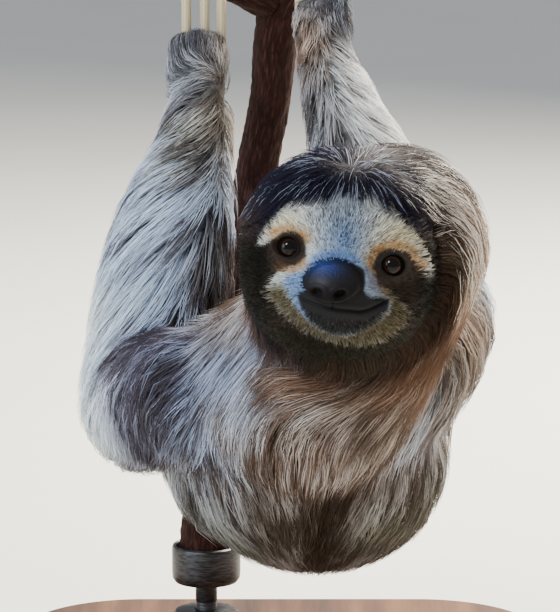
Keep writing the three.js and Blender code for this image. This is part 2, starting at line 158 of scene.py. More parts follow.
def flat_to(vectors, normals):
    """The part of each vector that lies in the plane square to its normal."""
    return vectors - normals * np.sum(vectors * normals, axis=-1, keepdims=True)


def path_through(places, per_span=4):
    """Centripetal Catmull-Rom curve through the places: each span is the pyramid of straight blends between its four
    nearest places, with knots spaced by the square root of their distances."""
    knots = np.asarray(places, float)
    padded = np.vstack((2 * knots[0] - knots[1], knots, 2 * knots[-1] - knots[-2]))
    gaps = np.sqrt(np.linalg.norm(np.diff(padded[:, :3], axis=0), axis=1)) + 1e-9
    times = np.concatenate(([0.0], np.cumsum(gaps)))
    spans = len(knots) - 1
    p = [padded[step:step + spans, None, :] for step in range(4)]
    t = [times[step:step + spans, None, None] for step in range(4)]
    now = t[1] + (t[2] - t[1]) * np.linspace(0.0, 1.0, per_span, endpoint=False)[None, :, None]

    def blend(one, two, start, stop):
        return (one * (stop - now) + two * (now - start)) / (stop - start)

    low, mid, high = (blend(p[step], p[step + 1], t[step], t[step + 1]) for step in range(3))
    curve = blend(blend(low, mid, t[0], t[2]), blend(mid, high, t[1], t[3]), t[1], t[2])
    return np.vstack((curve.reshape(-1, knots.shape[1]), knots[-1:]))


def waves(places, size, seed):
    """Soft noise from -1 to 1: the sum of eight sine waves in directions drawn from the seed, `size` mm long."""
    draw = np.random.default_rng(seed)
    ways = unit(draw.normal(size=(8, 3))) * (2 * np.pi / size) * draw.uniform(0.6, 1.6, (8, 1))
    phases = draw.uniform(0, 2 * np.pi, 8)
    return np.sin(places @ ways.T + phases).sum(axis=1) / 3.2


def to_face(places):
    """World millimetres to the face's own axes: side, out of the face, up."""
    return (places - FACE) @ FACE_AXES.T


def from_face(places):
    """The face's own axes to world millimetres."""
    return places @ FACE_AXES + FACE


# --- the form of the head

def way_to(side, out, up):
    """The unit direction from the centre of the head to a place in the face's axes."""
    return unit(np.array((side, out, up)) - HEAD_CENTRE)


HEAD_SWELLINGS = (
    (way_to(NOSE[0], 6, -12), 0.46, 8.0),
    (way_to(-20, -12, 14), 0.35, 1.8),
    (way_to(20, -12, 10), 0.35, 1.8),
    (way_to(-17.9, -3, 3.1), 0.20, -3.2),
    (way_to(17.6, -3, -3.1), 0.20, -3.2),
    (unit(np.array((-0.75, 0.45, -0.6))), 0.4, 1.5),
    (unit(np.array((0.75, 0.45, -0.6))), 0.4, 1.5),
)
NOSE_PAD = {"at": (-3.1, -8.6), "half": (9.7, 7.0), "stands": 4.6}
NOSTRILS = ((-7.8, -12.0, 0.5), (-0.6, -12.5, -0.5))
MOUTH = ((-15.6, -13.6), (-13.4, -15.2), (-10.2, -16.4), (-6.0, -17.7), (-1.2, -18.6), (3.9, -19.1), (7.0, -19.3),
         (10.6, -18.2), (14.6, -16.2), (16.4, -14.6))
LIP_PATCH = ((-14.5, -13.0), (-11.5, -12.0), (-10.5, -6.0), (0.0, -3.0), (7.4, -5.0), (7.4, -12.0), (10.0, -14.6),
             (16.0, -15.0), (15.8, -18.4), (12.0, -23.2), (5.0, -26.6), (-2.0, -27.2), (-8.6, -24.4), (-12.8, -19.6))


def coat_reach(ways):
    """How far the coat of the head stands from its centre: a squared-off ball, with swellings that fade as a bell."""
    fore = np.where(ways[:, 1] > 0, HEAD_COAT["front"], HEAD_COAT["back"])
    high = np.where(ways[:, 2] > 0, HEAD_COAT["up"], HEAD_COAT["down"])
    power = np.where(ways[:, 1] > 0, FACE_FLATNESS, 2.0)
    across = np.hypot(ways[:, 0] / HEAD_COAT["side"], ways[:, 2] / high)
    reach = (across ** power + np.abs(ways[:, 1] / fore) ** power) ** (-1.0 / power)
    for axis, spread, height in HEAD_SWELLINGS:
        reach = reach + height * bell(np.arccos(np.clip(ways @ axis, -1, 1)), spread)
    return reach


def coat_depth(ways):
    """Depth of the lying hair on the head: thin on the face, deep at the sides, deepest behind."""
    return mix(mix(8.5, 6.0, smooth(-0.5, 0.0, ways[:, 1])), 2.2, smooth(0.25, 0.8, ways[:, 1]))


def span_distance(across, up, near, far):
    """Distance in the plane from each point to the straight span between two places."""
    along = far - near
    share = np.clip(((across - near[0]) * along[0] + (up - near[1]) * along[1]) / (along @ along), 0, 1)
    return np.hypot(across - near[0] - share * along[0], up - near[1] - share * along[1])


def line_distance(across, up, line):
    """Distance in the plane from each point to an open smooth line through a few places: the least over its spans."""
    knots = path_through(line, 4)
    best = np.full(len(across), np.inf)
    for near, far in zip(knots[:-1], knots[1:]):
        best = np.minimum(best, span_distance(across, up, near, far))
    return best


def inside(across, up, outline, soft):
    """1 inside a closed smooth outline and 0 outside, with a border `soft` mm wide. The distance to the nearest span
    is positive inside, where a level ray crosses the outline an odd number of times."""
    knots = path_through(tuple(outline) + tuple(outline[:3]), 4)[4:-4]
    best = np.full(len(across), np.inf)
    odd = np.zeros(len(across), bool)
    for near, far in zip(knots[:-1], knots[1:]):
        best = np.minimum(best, span_distance(across, up, near, far))
        crosses = (near[1] > up) != (far[1] > up)
        rise = far[1] - near[1] if abs(far[1] - near[1]) > 1e-9 else 1e-9
        odd ^= crosses & (across < near[0] + (up - near[1]) * (far[0] - near[0]) / rise)
    return smooth(-soft / 2, soft / 2, np.where(odd, best, -best))


def pad_norm(across, up):
    """0 at the middle of the nose pad and 1 at its rim, by a squared-off oval."""
    high = (up - NOSE_PAD["at"][1]) / NOSE_PAD["half"][1]
    wide = NOSE_PAD["half"][0] * (1 - 0.14 * np.clip(high + 0.1, 0, 1) - 0.3 * np.clip(-high - 0.35, 0, 1))
    side = np.abs((across - NOSE_PAD["at"][0]) / wide)
    return (side ** 2.3 + np.abs(high) ** 2.3) ** (1 / 2.3)


def eye_norm(side, across, up):
    """0 at the middle of an eye's opening and 1 at the lid's edge."""
    half = EYE_OPENING[side]
    return np.hypot((across - EYES[side][0]) / half[0], (up - EYES[side][2]) / half[1])


def skin_reach(ways, fine, sockets=True):
    """How far the skin of the head stands from its centre. The coat's reach less the coat's depth, and when `fine`
    the nose pad with its nostrils, the mouth's crease and lips, and lids close round each eye and its socket."""
    reach = coat_reach(ways) - coat_depth(ways)
    if not fine:
        return reach
    front = smooth(0.25, 0.45, ways[:, 1])
    across = HEAD_CENTRE[0] + reach * ways[:, 0]
    up = HEAD_CENTRE[2] + reach * ways[:, 2]
    for side in SIDES:
        rim = eye_norm(side, across, up)
        level = EYES[side][1] + np.sqrt(EYE_RADIUS ** 2 - EYE_OPENING[side][0] ** 2) + 0.45
        lid_reach = (level - HEAD_CENTRE[1]) / np.maximum(ways[:, 1], 0.3)
        near = np.exp(-(rim / 2.1) ** 4) * front
        reach = mix(reach, lid_reach, near)
        reach += front * 0.4 * bell(rim - 1.13, 0.12)
        reach -= front * 7.0 * smooth(1.06, 0.9, rim) * sockets
    pad = pad_norm(across, up)
    dome = (1.0 - 0.12 * pad ** 2) * mix(1.0, 0.55, smooth(-13.0, -3.0, up))
    reach += front * NOSE_PAD["stands"] * smooth(1.12, 0.78, pad) * dome
    for place_side, place_up, slant in NOSTRILS:
        hole = np.hypot((across - place_side + slant * 0.4 * (up - place_up)) / 1.95, (up - place_up) / 1.5)
        reach -= front * 3.2 * np.exp(-hole ** 4)
        reach += front * 0.22 * bell(hole - 1.6, 0.45)
    groove = bell(across + 3.2, 0.45) * smooth(-13.0, -14.2, up) * smooth(-19.0, -18.0, up)
    reach -= front * 0.5 * groove
    crease = line_distance(across, up, MOUTH)
    lip = inside(across, up, LIP_PATCH, 2.0)
    reach -= front * 1.1 * bell(crease, 0.5)
    reach += front * 0.22 * bell(crease - 1.7, 1.1) * lip
    return reach


# --- the body as a field of distances

FAR = 1e3  # stands for the distance to a limb that is nowhere near
LIMB_MARGIN = 45.0  # a limb is measured for places this near to it


def taper_distance(places, near, far):
    """Distance from each place to the straight taper between two balls, less its radius there; the share of the
    taper's length at the nearest point; and the way to the place from the middle line."""
    along = far[:3] - near[:3]
    share = np.clip(((places - near[:3]) @ along) / (along @ along), 0, 1)
    off = places - near[:3] - share[:, None] * along
    return np.linalg.norm(off, axis=1) - (near[3] + share * (far[3] - near[3])), share, off


def chain_distance(places, chain):
    """Distance from each place to a run of balls joined by straight tapers, less their radii, and the depth of the
    coat at the nearest point of the run."""
    best = np.full(len(places), FAR)
    coat = np.zeros(len(places))
    for near, far in zip(chain[:-1], chain[1:]):
        away, share, _ = taper_distance(places, near, far)
        closer = away < best
        best = np.where(closer, away, best)
        coat = np.where(closer, near[4] + share * (far[4] - near[4]), coat)
    return best, coat


def limb_distance(name, places):
    """Distance to one limb's flesh. The trunk's is measured in a space squeezed sideways, which makes it wider."""
    chain = path_through(CHAINS[name], 3)
    if name != "trunk":
        return chain_distance(places, chain)
    squeezed = places.copy()
    squeezed[:, 0] = TRUNK_MIDDLE + (places[:, 0] - TRUNK_MIDDLE) / TRUNK_WIDENING
    narrow = chain.copy()
    narrow[:, 0] = TRUNK_MIDDLE + (chain[:, 0] - TRUNK_MIDDLE) / TRUNK_WIDENING
    return chain_distance(squeezed, narrow)


def head_distance(places, fine=False):
    """Distance to the head: how far out a place lies, less the skin's reach in that direction, sockets left out."""
    local = to_face(places) - HEAD_CENTRE
    away = np.linalg.norm(local, axis=1)
    return away - skin_reach(local / np.maximum(away, 1e-6)[:, None], fine, False)


def soft_min(one, two, fillet):
    """The lesser of two distances, with a fillet where they are alike."""
    blend = np.maximum(fillet - np.abs(one - two), 0) / fillet
    return np.minimum(one, two) - blend ** 2 * fillet * 0.25


def body_distance(places):
    """Distance to the whole body, with the limbs joined by fillets; the label of the nearest limb; the depth of the
    coat; and how much nearer the head is than any limb."""
    whole = np.full(len(places), FAR)
    nearest = np.full(len(places), FAR)
    label = np.zeros(len(places), int)
    coat = np.full(len(places), 9.0)
    for index, name in enumerate(CHAIN_NAMES):
        chain = np.asarray(CHAINS[name], float)
        reach = chain[:, 3].max() + LIMB_MARGIN
        close = np.all((places > chain[:, :3].min(0) - reach) & (places < chain[:, :3].max(0) + reach), axis=1)
        away = np.full(len(places), FAR)
        depth = np.zeros(len(places))
        away[close], depth[close] = limb_distance(name, places[close])
        small = name.startswith(("finger", "hand", "foot", "tail"))
        whole = soft_min(whole, away, SMALL_JOIN if small else JOIN)
        closer = away < nearest
        label[closer] = index
        coat[closer] = depth[closer]
        nearest = np.minimum(nearest, away)
    away = head_distance(places)
    label[away < nearest] = HEAD_LABEL
    return soft_min(whole, away, HEAD_JOIN), label, coat, nearest - away


class Grid:
    """Values on a grid of points, read between them by straight blends along the three axes."""

    def __init__(self, low, pitch, values):
        self.low, self.pitch, self.values = low, pitch, values

    def at(self, places):
        """The value at each place: the eight grid points round it, weighted by nearness."""
        spot = (places - self.low) / self.pitch
        cell = np.clip(np.floor(spot).astype(int), 0, np.array(self.values.shape[:3]) - 2)
        part = np.clip(spot - cell, 0, 1)
        total = 0.0
        for corner in range(8):
            step = np.array((corner & 1, corner >> 1 & 1, corner >> 2 & 1))
            weight = np.prod(np.where(step, part, 1 - part), axis=1)
            index = cell + step
            value = self.values[index[:, 0], index[:, 1], index[:, 2]]
            total = total + (weight[:, None] if value.ndim > 1 else weight) * value
        return total

    def nearest(self, places):
        """The value of the grid point closest to each place."""
        spot = np.rint((places - self.low) / self.pitch).astype(int)
        index = np.clip(spot, 0, np.array(self.values.shape[:3]) - 1)
        return self.values[index[:, 0], index[:, 1], index[:, 2]]

    def softened(self, passes):
        """The same grid with each value replaced, `passes` times over, by the mean of its neighbours."""
        values = self.values.astype(float)
        for _ in range(passes):
            for axis in range(3):
                ahead = np.concatenate([values.take(range(1, values.shape[axis]), axis),
                                        values.take([-1], axis)], axis)
                behind = np.concatenate([values.take([0], axis),
                                         values.take(range(values.shape[axis] - 1), axis)], axis)
                values = (values + ahead + behind) / 3
        return Grid(self.low, self.pitch, values)


def slope_of(distance, places, reach):
    """The outward direction at each place, from differences of a distance over a small reach."""
    sides = [distance(places + reach * axis) - distance(places - reach * axis) for axis in np.eye(3)]
    return unit(np.stack(sides, axis=1))


def net_over(grid):
    """The surface where a grid is zero: one point in each grid cell that it passes through, at the mean of its
    crossings with the cell's edges, and one quad for each grid edge that it crosses."""
    values = grid.values
    solid = values < 0
    counts = np.array(values.shape) - 1
    steps = np.array([(i, j, k) for i in (0, 1) for j in (0, 1) for k in (0, 1)])
    filled = sum(solid[tuple(slice(s[a], s[a] + counts[a]) for a in range(3))].astype(int) for s in steps)
    active = (filled > 0) & (filled < 8)
    number = np.full(tuple(counts), -1)
    number[active] = np.arange(active.sum())
    cells = np.argwhere(active)
    total = np.zeros((len(cells), 3))
    count = np.zeros((len(cells), 1))
    for start in steps:
        for axis in range(3):
            if start[axis]:
                continue
            stop = start.copy()
            stop[axis] = 1
            one = values[tuple((cells + start).T)]
            two = values[tuple((cells + stop).T)]
            crossed = (one < 0) != (two < 0)
            share = np.where(crossed, one / np.where(crossed, one - two, 1), 0)[:, None]
            total += np.where(crossed[:, None], start + share * (stop - start), 0)
            count += crossed[:, None]
    points = grid.low + grid.pitch * (cells + total / count)
    quads = []
    for axis in range(3):
        other, third = (axis + 1) % 3, (axis + 2) % 3
        near = [slice(1, -1)] * 3
        far = [slice(1, -1)] * 3
        near[axis] = slice(0, -1)
        far[axis] = slice(1, None)
        crossed = solid[tuple(near)] != solid[tuple(far)]
        edges = np.argwhere(crossed)
        edges[:, other] += 1
        edges[:, third] += 1
        ring = []
        for back_other, back_third in ((1, 1), (0, 1), (0, 0), (1, 0)):
            cell = edges.copy()
            cell[:, other] -= back_other
            cell[:, third] -= back_third
            ring.append(number[tuple(cell.T)])
        ring = np.stack(ring, axis=1)
        inward = ~solid[tuple(near)][crossed]
        ring[inward] = ring[inward][:, ::-1]
        quads.append(ring)
    return points, np.vstack(quads)


# --- which way the coat lies

NOSE_WAY = unit(np.array((-0.066, 0.98, -0.18)))
WHORL_WAY = unit(np.array((0.113, 0.42, 0.90)))
LIE = {
    "trunk": (0.0, 0.35, -1.0), "neck": (-0.05, 0.25, -1.0), "tail": (0.05, 1.0, -0.6),
    "upper_arm_right": (-0.5, 0.25, -1.0), "upper_arm_left": (-0.15, 0.1, -1.0),
    "forearm_right": (-0.7, 0.0, -0.9), "forearm_left": (0.5, 0.0, -1.0),
    "hand_right": (-0.5, 0.0, -0.9), "hand_left": (0.3, 0.0, -1.0),
    "finger_right": (0.0, 0.2, 1.0), "finger_left": (-0.1, -0.4, -1.0),
    "thigh_right": (0.0, -0.2, -1.0), "thigh_left": (0.0, -0.2, -1.0),
    "shank_right": (0.0, -0.3, -1.0), "shank_left": (0.0, -0.3, -1.0),
    "foot_right": (0.0, -0.5, -1.0), "foot_left": (0.0, -0.5, -1.0),
}


def body_lie(places, label):
    """The way the coat lies on the limbs: one direction for each, turned along the right arm, and on the hood and
    throat going round the head, down its left side and then across under the chin. Behind the head it hangs down."""
    base = np.array([LIE[name.rstrip("_123")] for name in CHAIN_NAMES] + [(0.0, 0.3, -1.0)])
    lie = unit(base[label])
    wrist = smooth(190, 255, places[:, 2])[:, None]
    arm = (label == CHAIN_NAMES.index("forearm_right"))[:, None]
    lie = np.where(arm, mix(np.array((-0.5, 0.0, -0.9)), np.array((-0.8, 0.0, -0.6)), wrist), lie)
    across, out, up = to_face(places).T
    turn = np.arctan2(up + 2, across - 1)
    round_head = np.column_stack((np.sin(turn), np.zeros(len(turn)), -np.cos(turn))) @ FACE_AXES
    down_left = np.broadcast_to(unit(np.array((-0.75, 0.1, -0.75))), round_head.shape)
    round_head = mix(round_head, down_left, smooth(-8, -26, across)[:, None])
    near = smooth(-66, -48, up) * smooth(-135, -105, out) * has_label(label, "neck", "trunk", "upper_arm")
    nape = smooth(-62, -76, out) * smooth(38, 22, np.hypot(across - 1, up + 2))
    return mix(lie, round_head, (near * (1 - nape))[:, None])


def head_lie(places):
    """The way the coat lies on the head: away from the nose on the face, away from the whorl on the crown."""
    local = to_face(places) - HEAD_CENTRE
    ways = unit(local)
    from_nose = -unit(flat_to(np.broadcast_to(NOSE_WAY, ways.shape), ways))
    from_whorl = -unit(flat_to(np.broadcast_to(WHORL_WAY, ways.shape), ways))
    crown = smooth(15, 23, local[:, 2] + 0.12 * np.abs(local[:, 0]))
    crown = np.maximum(crown, smooth(0.1, -0.25, ways[:, 1]))[:, None]
    lie = mix(from_nose, from_whorl, crown)
    across, up = local[:, 0] + HEAD_CENTRE[0], local[:, 2] + HEAD_CENTRE[2]
    for side in SIDES:
        away = unit(np.column_stack((across - EYES[side][0], np.zeros(len(up)), up - EYES[side][2])))
        near = 0.7 * np.exp(-(eye_norm(side, across, up) / 1.6) ** 4) * (ways[:, 1] > 0)
        lie = mix(lie, away, near[:, None])
    return lie @ FACE_AXES


# --- markings, with some painted light and shade, as 0-255 display colours

FULL = 255  # the brightest display value
# the blue of the crown, the bridge and the muzzle is partly the hair's own colour and partly painted cool skylight
# and its sheen
TONES = {
    "crown": (27, 26, 39), "stripe": (49, 40, 34), "cheek": (15, 14, 9), "chin": (31, 30, 20), "hood": (88, 62, 47),
    "mask": (206, 210, 206), "brow": (236, 222, 184), "bridge": (124, 147, 182), "orange": (164, 112, 62),
    "muzzle": (92, 124, 176), "tan": (92, 84, 65), "lip": (20, 20, 22), "lid": (5, 4, 4),
    # the nose pad's top tone is a painted reflection: a blue sheen of sky on the wet pad
    "pad": (11, 9, 11), "pad_painted_sheen": (20, 42, 100),
}
# each limb's dark hair, its pale hair, and the share of its locks that are pale; the blue of the pale hair on the
# arms is partly its own colour and partly painted cool skylight
BODY_TONES = {
    "trunk": ((84, 72, 66), (198, 200, 206), 0.48), "neck": ((94, 74, 62), (182, 172, 166), 0.42),
    "tail": ((96, 82, 62), (166, 154, 128), 0.40),
    "upper_arm": ((92, 84, 84), (200, 208, 220), 0.55), "forearm": ((90, 84, 86), (202, 218, 244), 0.60),
    "hand": ((92, 90, 94), (178, 180, 188), 0.55), "finger": ((84, 82, 86), (170, 172, 180), 0.50),
    "thigh": ((104, 94, 84), (202, 202, 200), 0.55), "shank": ((106, 96, 86), (194, 190, 180), 0.55),
    "foot": ((92, 80, 70), (160, 148, 130), 0.40),
}
RIGHT_ARM = ("upper_arm_right", "forearm_right")
FOREPART = ("neck", "trunk", "upper_arm")
# patches: the limbs they lie on, dark hair, pale hair, share of pale locks, a line in the face's plane and its half
# width; a later one lies over the ones before it. The blue of the pale hair on the right arm, shoulder and chest is
# partly the hair's own colour and partly painted cool skylight.
BODY_PATCHES = (
    # the right elbow's bluish white: partly its own colour, partly painted cool skylight
    (RIGHT_ARM, (150, 152, 164), (240, 250, 255), 0.92, ((-96, -8), (-100, -47), (-92, -84)), 13.0),
    (RIGHT_ARM, (82, 72, 66), (164, 160, 160), 0.42, ((-44, 16), (-46, -14), (-55, -30)), 7.0),
    (RIGHT_ARM, (94, 88, 82), (194, 190, 180), 0.50, ((-54, 62), (-58, 44)), 9.0),
    # partly brown hair, partly painted shade below the right shoulder
    (("upper_arm_right", "forearm_right", "trunk"), (56, 50, 58), (122, 122, 142), 0.28,
     ((-54, -22), (-68, -36), (-76, -50), (-72, -68)), 9.0),
    (("hand_right", "finger_right", "forearm_right"), (150, 124, 98), (228, 208, 180), 0.60,
     ((-40, 92), (-39, 74), (-40, 58)), 6.5),
    (("forearm_left",), (156, 152, 146), (250, 250, 246), 0.88, ((2, 76), (12, 54), (24, 36)), 16.0),
    (("forearm_left",), (66, 60, 60), (130, 127, 132), 0.36, ((-11, 84), (-9, 68), (-5, 54), (2, 44)), 7.0),
    (FOREPART, (54, 50, 60), (132, 146, 176), 0.46, ((-26, -28), (-40, -32), (-52, -46), (-54, -64)), 7.0),
    (FOREPART, (112, 74, 50), (142, 106, 84), 0.28, ((42, -17), (32, -32), (12, -40.5), (-10, -39)), 4.5),
    (("neck",), (28, 23, 27), (84, 72, 72), 0.18, ((4, 43), (20, 40), (31, 32)), 11.5),
    (("neck",), (150, 116, 94), (224, 198, 176), 0.50, ((42, 20), (43.5, 8), (45, -4)), 8.5),
    (FOREPART, (70, 51, 41), (120, 98, 84), 0.28, ((47, -10), (47.5, -18)), 4.5),
    (FOREPART, (104, 90, 80), (180, 164, 152), 0.48, ((47, -29), (42, -37), (35, -44)), 5.5),
    (("upper_arm_left",), (86, 76, 68), (166, 154, 144), 0.45, ((53, -10), (50, -42)), 9.0),
    (FOREPART, (36, 26, 20), (70, 52, 40), 0.25,
     ((30, 24), (34, 8), (35.5, -6), (33.5, -20), (25, -30.5), (8, -36)), 3.0),
    (("trunk",), (38, 30, 24), (86, 74, 62), 0.18, ((5, -72), (-6, -86), (-3, -112)), 10.0),
    (("trunk", "neck"), (76, 65, 57), (164, 148, 136), 0.46, ((12, -47), (22, -57)), 9.0),
    (("trunk",), (88, 88, 98), (196, 210, 236), 0.62, ((-24, -50), (-46, -62)), 9.0),
    (("trunk",), (80, 80, 74), (158, 162, 152), 0.62, ((-70, -84), (-54, -100), (-42, -106)), 10.0),
    (("trunk",), (58, 50, 44), (118, 108, 100), 0.28, ((-29, -80), (-27, -104)), 5.5),
    (("trunk",), (60, 48, 40), (110, 94, 82), 0.25, ((31, -55), (20, -64)), 6.0),
    (("trunk",), (62, 60, 51), (132, 130, 117), 0.40, ((16, -99), (36, -92), (46, -78)), 11.0),
    (FOREPART, (84, 84, 94), (190, 202, 226), 0.62, ((-30, -38), (-27, -50)), 7.0),
    (("hand_left", "finger_left", "forearm_left"), (128, 92, 66), (204, 172, 146), 0.50,
     ((-12, 100), (-10, 90)), 8.0),
)

# lighter stubble on the lips and chin: partly its own colour, partly painted highlight
LIP_GLINT = (70.0, 71.0, 75.0)
# painted highlight: a bluish sheen given to a few hairs of the crown near the whorl and on its top
CROWN_GLINT = (160.0, 168.0, 188.0)
# pale hairs on the crest of the hood, partly its own pale tips and partly a painted highlight of sunlight: a line
# in the face's plane, its half width, the share of hairs there and their colour
CREST = {"line": ((23, 28), (28, 24.5), (33.5, 18.5), (38.5, 12.5)), "half": 6.0, "share": 0.55,
         "tone": (255.0, 250.0, 240.0)}
MASK_OUTLINE = (
    (-29.7, 4.1), (-26.2, 10.7), (-19.0, 16.9), (-7.2, 18.6), (2.1, 19.7), (11.7, 18.3), (21.0, 13.8), (27.2, 7.6),
    (31.3, 0.2), (32.6, -8.4), (28.0, -3.5), (23.5, 0.7), (19.0, 2.1), (14.5, 1.4), (11.7, -2.1), (11.0, -5.5),
    (13.1, -9.7), (17.3, -13.1), (21.4, -16.2), (24.5, -21.0), (16.6, -29.7), (2.1, -31.4), (-12.1, -26.9),
    (-21.4, -19.3), (-27.3, -11.7), (-25.5, -8.3), (-22.4, -5.5), (-17.9, -4.1), (-13.8, -2.1), (-12.4, 1.4),
    (-14.5, 5.5), (-17.9, 7.2), (-21.7, 6.9), (-25.9, 5.5),
)
MUZZLE_OUTLINE = (
    (-20.5, -7.9), (-16.6, -17.6), (-8.6, -25.0), (1.4, -28.0), (12.6, -23.0), (17.4, -17.8), (15.0, -12.0),
    (9.0, -3.5), (5.0, 0.5), (-8.5, 1.5), (-13.0, -4.5),
)
# rusty edges of the eye stripes: lines in the face's plane and their half widths
ORANGE_LINES = (
    (((-23.5, 8.2), (-18, 9.0), (-12.5, 6.6)), 2.6), (((-22, -3.4), (-17.5, -4.2), (-13.2, -2.4)), 1.9),
    (((12.0, 1.0), (18, 3.8), (24, 1.6), (28.5, -2.6)), 2.5), (((10.2, -2.0), (11.6, -8.0), (15.2, -12.4)), 2.3),
)


def glow(across, up, at, size):
    """A round patch that fades as a bell from its middle."""
    return np.exp(-((across - at[0]) ** 2 + (up - at[1]) ** 2) / size ** 2)


def head_tone(places):
    """The head's colour at each place: a dark crown and throat, a pale mask over the brow and muzzle with a dark
    stripe out of each eye, a tan band round the mouth and bare dark lips. Each is laid over the last by its share."""
    local = to_face(places)
    across, _, up = local.T
    ways = unit(local - HEAD_CENTRE)
    front = smooth(0.0, 0.3, ways[:, 1])
    tone = np.broadcast_to(np.array(TONES["crown"], float), local.shape).copy()

    def lay(name, share):
        tone[:] = mix(tone, np.array(TONES[name], float), np.clip(share, 0, 1)[:, None])

    lay("hood", smooth(0.0, -0.45, ways[:, 1]) * 0.6)
    lay("hood", 0.5 * smooth(-24, -35, across) * smooth(-4, 6, up))
    lay("hood", 0.5 * smooth(25, 38, across))
    lay("stripe", smooth(12, 2, up) * smooth(-0.25, 0.1, ways[:, 1]))
    lay("cheek", smooth(24, 31, np.abs(across - 1)) * smooth(10, 2, up) * smooth(-0.25, 0.1, ways[:, 1]))
    lay("chin", smooth(-22, -32, up + waves(places, 9.0, 11)) * smooth(-0.3, 0.2, ways[:, 1]))
    edge = 0.8 * waves(places, 4.0, 12)
    mask = inside(across + edge, up + edge, MASK_OUTLINE, 2.6) * front
    lay("mask", mask)
    # the bridge's blue is partly painted cool skylight
    lay("bridge", mask * (0.75 * glow(across, up, (1.0, 10.0), 9.5) + 0.6 * glow(across, up, (1.0, 2.0), 6.0)))
    lay("brow", mask * 0.95 * (glow(across, up, (-21, 10.5), 7.0) + glow(across, up, (22, 7.0), 9.5)))
    patchy = 0.66 + 0.2 * waves(places, 4.5, 13)
    for line, half in ORANGE_LINES:
        lay("orange", mix(0.4, 1.0, mask) * front * patchy * bell(line_distance(across, up, line), half))
    # the muzzle's blue is partly painted cool skylight
    muzzle = inside(across, up, MUZZLE_OUTLINE, 3.0) * front
    lay("muzzle", muzzle * mix(0.8, 0.5, smooth(0, 12, across)))
    lay("tan", mask * smooth(-5, -11, up + 0.1 * np.abs(across + 2)) * (1 - 0.9 * muzzle))
    lay("lip", inside(across, up, LIP_PATCH, 2.4) * front)
    for side in SIDES:
        lay("stripe", smooth(2.0, 1.5, eye_norm(side, across, up)) * front)
    return tone


def bare_tone(places, tone):
    """The colours of the bare skin of the face laid over the coat's: lips, lids and nose pad, and how wet each is.
    The pad's top carries a painted reflection: a blue sheen of sky.
    """
    local = to_face(places)
    across, _, up = local.T
    front = smooth(0.25, 0.45, unit(local - HEAD_CENTRE)[:, 1])
    wet = np.zeros(len(places))
    lip = inside(across, up, LIP_PATCH, 1.6) * front
    pad = smooth(1.22, 1.05, pad_norm(across, up)) * front
    pad_wet = 0.75 * smooth(-14.5, -7.0, up) * smooth(1.05, 0.75, pad_norm(across, up))
    shares = [("lip", lip, 0.15), ("pad", pad, pad_wet)]
    shares += [("lid", smooth(1.4, 1.15, eye_norm(side, across, up)) * front, 0.4) for side in SIDES]
    # painted reflection: a blue sheen of sky laid on the top left of the wet nose pad
    shares.append(("pad_painted_sheen", pad * np.exp(-((across + 6.0) / 7.0) ** 2 - ((up + 4.0) / 4.0) ** 2), 0.85))
    for name, share, sheen in shares:
        tone = mix(tone, np.array(TONES[name], float), share[:, None])
        wet = mix(wet, sheen, share)
    return tone, wet


def body_tone(places, label, outward):
    """Dark hair, pale hair and the share of pale locks at each place, as seven numbers: each limb's own, with the
    patches laid over them where the outward direction isn't turned away from the face's."""
    seen = smooth(-0.55, -0.2, outward @ FACE_AXES[1])
    rows = []
    for name in CHAIN_NAMES:
        kind = next(key for key in BODY_TONES if name.startswith(key))
        dark, pale, share = BODY_TONES[kind]
        rows.append((*dark, *pale, FULL * share))
    rows.append((*TONES["hood"], *TONES["hood"], 0))
    rows = np.array(rows, float)[label]
    across, _, up = to_face(places).T
    for limbs, dark, pale, share, line, half in BODY_PATCHES:
        over = smooth(1.35, 0.65, line_distance(across, up, line) / half) * has_label(label, *limbs) * seen
        rows = mix(rows, np.array((*dark, *pale, FULL * share), float), over[:, None])
    return rows


def to_linear(tone):
    """Display colours of 0-255 to the linear values that a render works in."""
    share = np.clip(tone, 0, FULL) / FULL
    return np.where(share <= 0.04045, share / 12.92, ((share + 0.055) / 1.055) ** 2.4)


